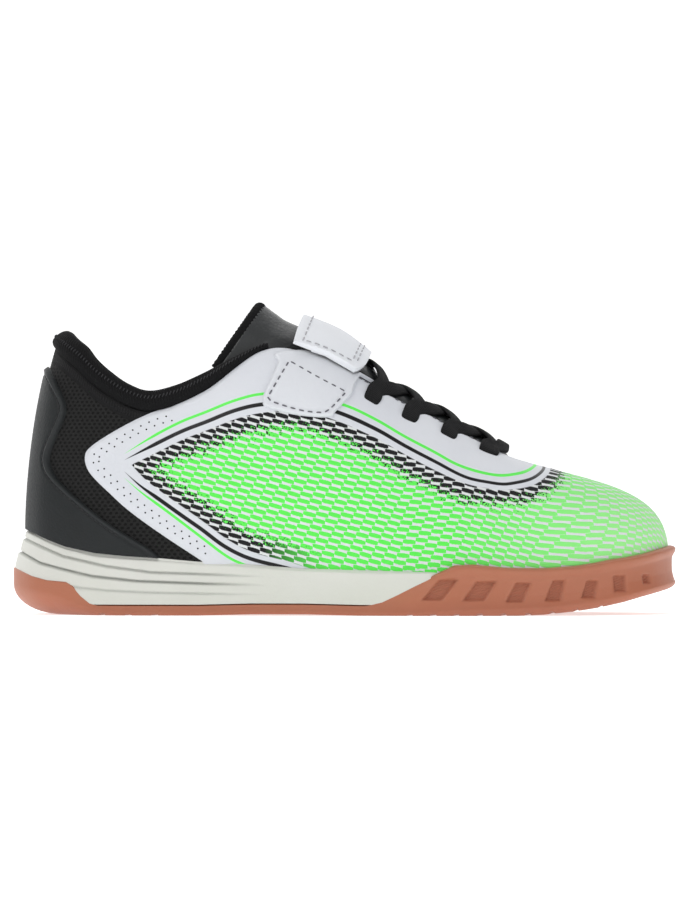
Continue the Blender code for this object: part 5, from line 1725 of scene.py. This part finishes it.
class ShoeColours(bpy.types.PropertyGroup):
    """Colours of the shoe's materials, as display values."""
    white: colour_property("White", "The border, strap and strap base", (.86, .87, .89))
    shade: colour_property("White shade", "Cloudy patches in the white", (.81, .82, .85))
    strap: colour_property("Strap white", "The strap's outer face", (.90, .91, .93))
    print_ground: colour_property("Print ground", "Cloth between the print's dashes", (.86, .87, .86))
    green: colour_property("Green", "The print and its outer line", (.37, .93, .34))
    pale_green: colour_property("Pale green", "The print at the toe", (.68, .95, .63))
    ink: colour_property("Ink", "Black dashes and the inner line", (.06, .06, .07))
    net_yarn: colour_property("Mesh yarn", "Threads of the heel's mesh", (.115, .115, .115))
    # Mesh hole: the dark backing with painted shade in the mesh's openings.
    net_hole_shade: colour_property("Mesh hole", "Between the heel mesh's threads", (.02, .02, .02))
    black: colour_property("Black", "Coated black leather", (.12, .13, .135))
    # Black highlight: random blotches, and the painted highlight on the counter's piped rim and on the
    # tongue's crease tops.
    black_blotch_and_highlight: colour_property("Black highlight", "Worn and raised black leather", (.18, .19, .195))
    knit: colour_property("Knit", "Collar cloth", (.05, .05, .055))
    # Knit highlight: random fuzz, and the painted highlight on the raised ribs of the collar and the heel
    # trim.
    knit_fuzz_and_highlight: colour_property("Knit highlight", "Raised threads of the collar", (.125, .125, .13))
    lace: colour_property("Lace", "Elastic lace", (.07, .07, .075))
    # Lace highlight: random fuzz, and the painted highlight on the lace's raised cords.
    lace_fuzz_and_highlight: colour_property("Lace highlight", "Raised cords of the lace", (.15, .15, .155))
    gum: colour_property("Gum", "Gum rubber", (.69, .425, .315))
    gum_dark: colour_property("Gum shade", "Cloudy patches in the gum", (.64, .375, .27))
    # Gum recess: painted shade in the side's recesses; the same colour darkens the bottom of the sole.
    gum_recess_shade: colour_property("Gum recess", "Recesses and the tread", (.57, .32, .235))
    foam: colour_property("Foam", "Midsole", (.85, .85, .83))
    foam_dark: colour_property("Foam shade", "Cloudy patches in the midsole", (.79, .80, .76))
    # Foam groove: painted shade at the bottom of the midsole's rib grooves.
    foam_groove_shade: colour_property("Foam groove", "Bottom of the midsole's grooves", (.52, .53, .51))
    lining: colour_property("Lining", "Sock liner and the upper's inside", (.22, .22, .22))


class SHOE_OT_soles(bpy.types.Operator):
    """Build the gum outsole, the foam midsole and the sock liner"""
    bl_idname = "shoe.soles"
    bl_label = "Soles"

    def execute(self, context):
        look = looks(context.scene.shoe_colours)
        make_outsole(look)
        make_midsole(look)
        make_insole(look)
        return {"FINISHED"}


class SHOE_OT_upper(bpy.types.Operator):
    """Build the printed upper"""
    bl_idname = "shoe.upper"
    bl_label = "Upper"

    def execute(self, context):
        make_upper(looks(context.scene.shoe_colours))
        return {"FINISHED"}


class SHOE_OT_stitching(bpy.types.Operator):
    """Build the upper's seams and needle holes"""
    bl_idname = "shoe.stitching"
    bl_label = "Stitching"

    def execute(self, context):
        make_stitching(looks(context.scene.shoe_colours), context.scene.shoe_sizes)
        return {"FINISHED"}


class SHOE_OT_heel(bpy.types.Operator):
    """Build the heel counter and the padded collar"""
    bl_idname = "shoe.heel"
    bl_label = "Heel counter and collar"

    def execute(self, context):
        look = looks(context.scene.shoe_colours)
        make_counter(look)
        make_collar(look)
        return {"FINISHED"}


class SHOE_OT_tongue(bpy.types.Operator):
    """Build the padded tongue"""
    bl_idname = "shoe.tongue"
    bl_label = "Tongue"

    def execute(self, context):
        make_tongue(looks(context.scene.shoe_colours))
        return {"FINISHED"}


class SHOE_OT_strap(bpy.types.Operator):
    """Build the strap and the base that it closes on"""
    bl_idname = "shoe.strap"
    bl_label = "Strap"

    def execute(self, context):
        make_patch(looks(context.scene.shoe_colours), context.scene.shoe_sizes)
        make_strap(looks(context.scene.shoe_colours), context.scene.shoe_sizes)
        return {"FINISHED"}


class SHOE_OT_laces(bpy.types.Operator):
    """Build the elastic laces"""
    bl_idname = "shoe.laces"
    bl_label = "Laces"

    def execute(self, context):
        make_laces(looks(context.scene.shoe_colours), context.scene.shoe_sizes)
        return {"FINISHED"}


class SHOE_OT_stage(bpy.types.Operator):
    """Build the floor, the lights and the camera"""
    bl_idname = "shoe.stage"
    bl_label = "Stage"

    def execute(self, context):
        make_stage(context.scene.shoe_sizes)
        return {"FINISHED"}


PIECES = (SHOE_OT_soles, SHOE_OT_upper, SHOE_OT_stitching, SHOE_OT_heel, SHOE_OT_tongue, SHOE_OT_strap,
          SHOE_OT_laces, SHOE_OT_stage)


class SHOE_PT_pieces(bpy.types.Panel):
    """Lists the shoe's pieces, sizes and colours"""
    bl_label = "Indoor Soccer Shoe"
    bl_idname = "SHOE_PT_pieces"
    bl_space_type = "VIEW_3D"
    bl_region_type = "UI"
    bl_category = "Shoe"

    def draw(self, context):
        for piece in PIECES:
            self.layout.operator(piece.bl_idname)
        for group in (context.scene.shoe_sizes, context.scene.shoe_colours):
            box = self.layout.box()
            for name in group.__annotations__:
                box.prop(group, name)


CLASSES = (ShoeSizes, ShoeColours) + PIECES + (SHOE_PT_pieces,)


def register():
    for made in CLASSES:
        bpy.utils.register_class(made)
    bpy.types.Scene.shoe_sizes = bpy.props.PointerProperty(type=ShoeSizes)
    bpy.types.Scene.shoe_colours = bpy.props.PointerProperty(type=ShoeColours)


def unregister():
    del bpy.types.Scene.shoe_colours
    del bpy.types.Scene.shoe_sizes
    for made in reversed(CLASSES):
        bpy.utils.unregister_class(made)


def main():
    register()
    bpy.ops.shoe.soles()
    bpy.ops.shoe.upper()
    bpy.ops.shoe.stitching()
    bpy.ops.shoe.heel()
    bpy.ops.shoe.tongue()
    bpy.ops.shoe.strap()
    bpy.ops.shoe.laces()
    bpy.ops.shoe.stage()


if __name__ == "__main__":
    main()
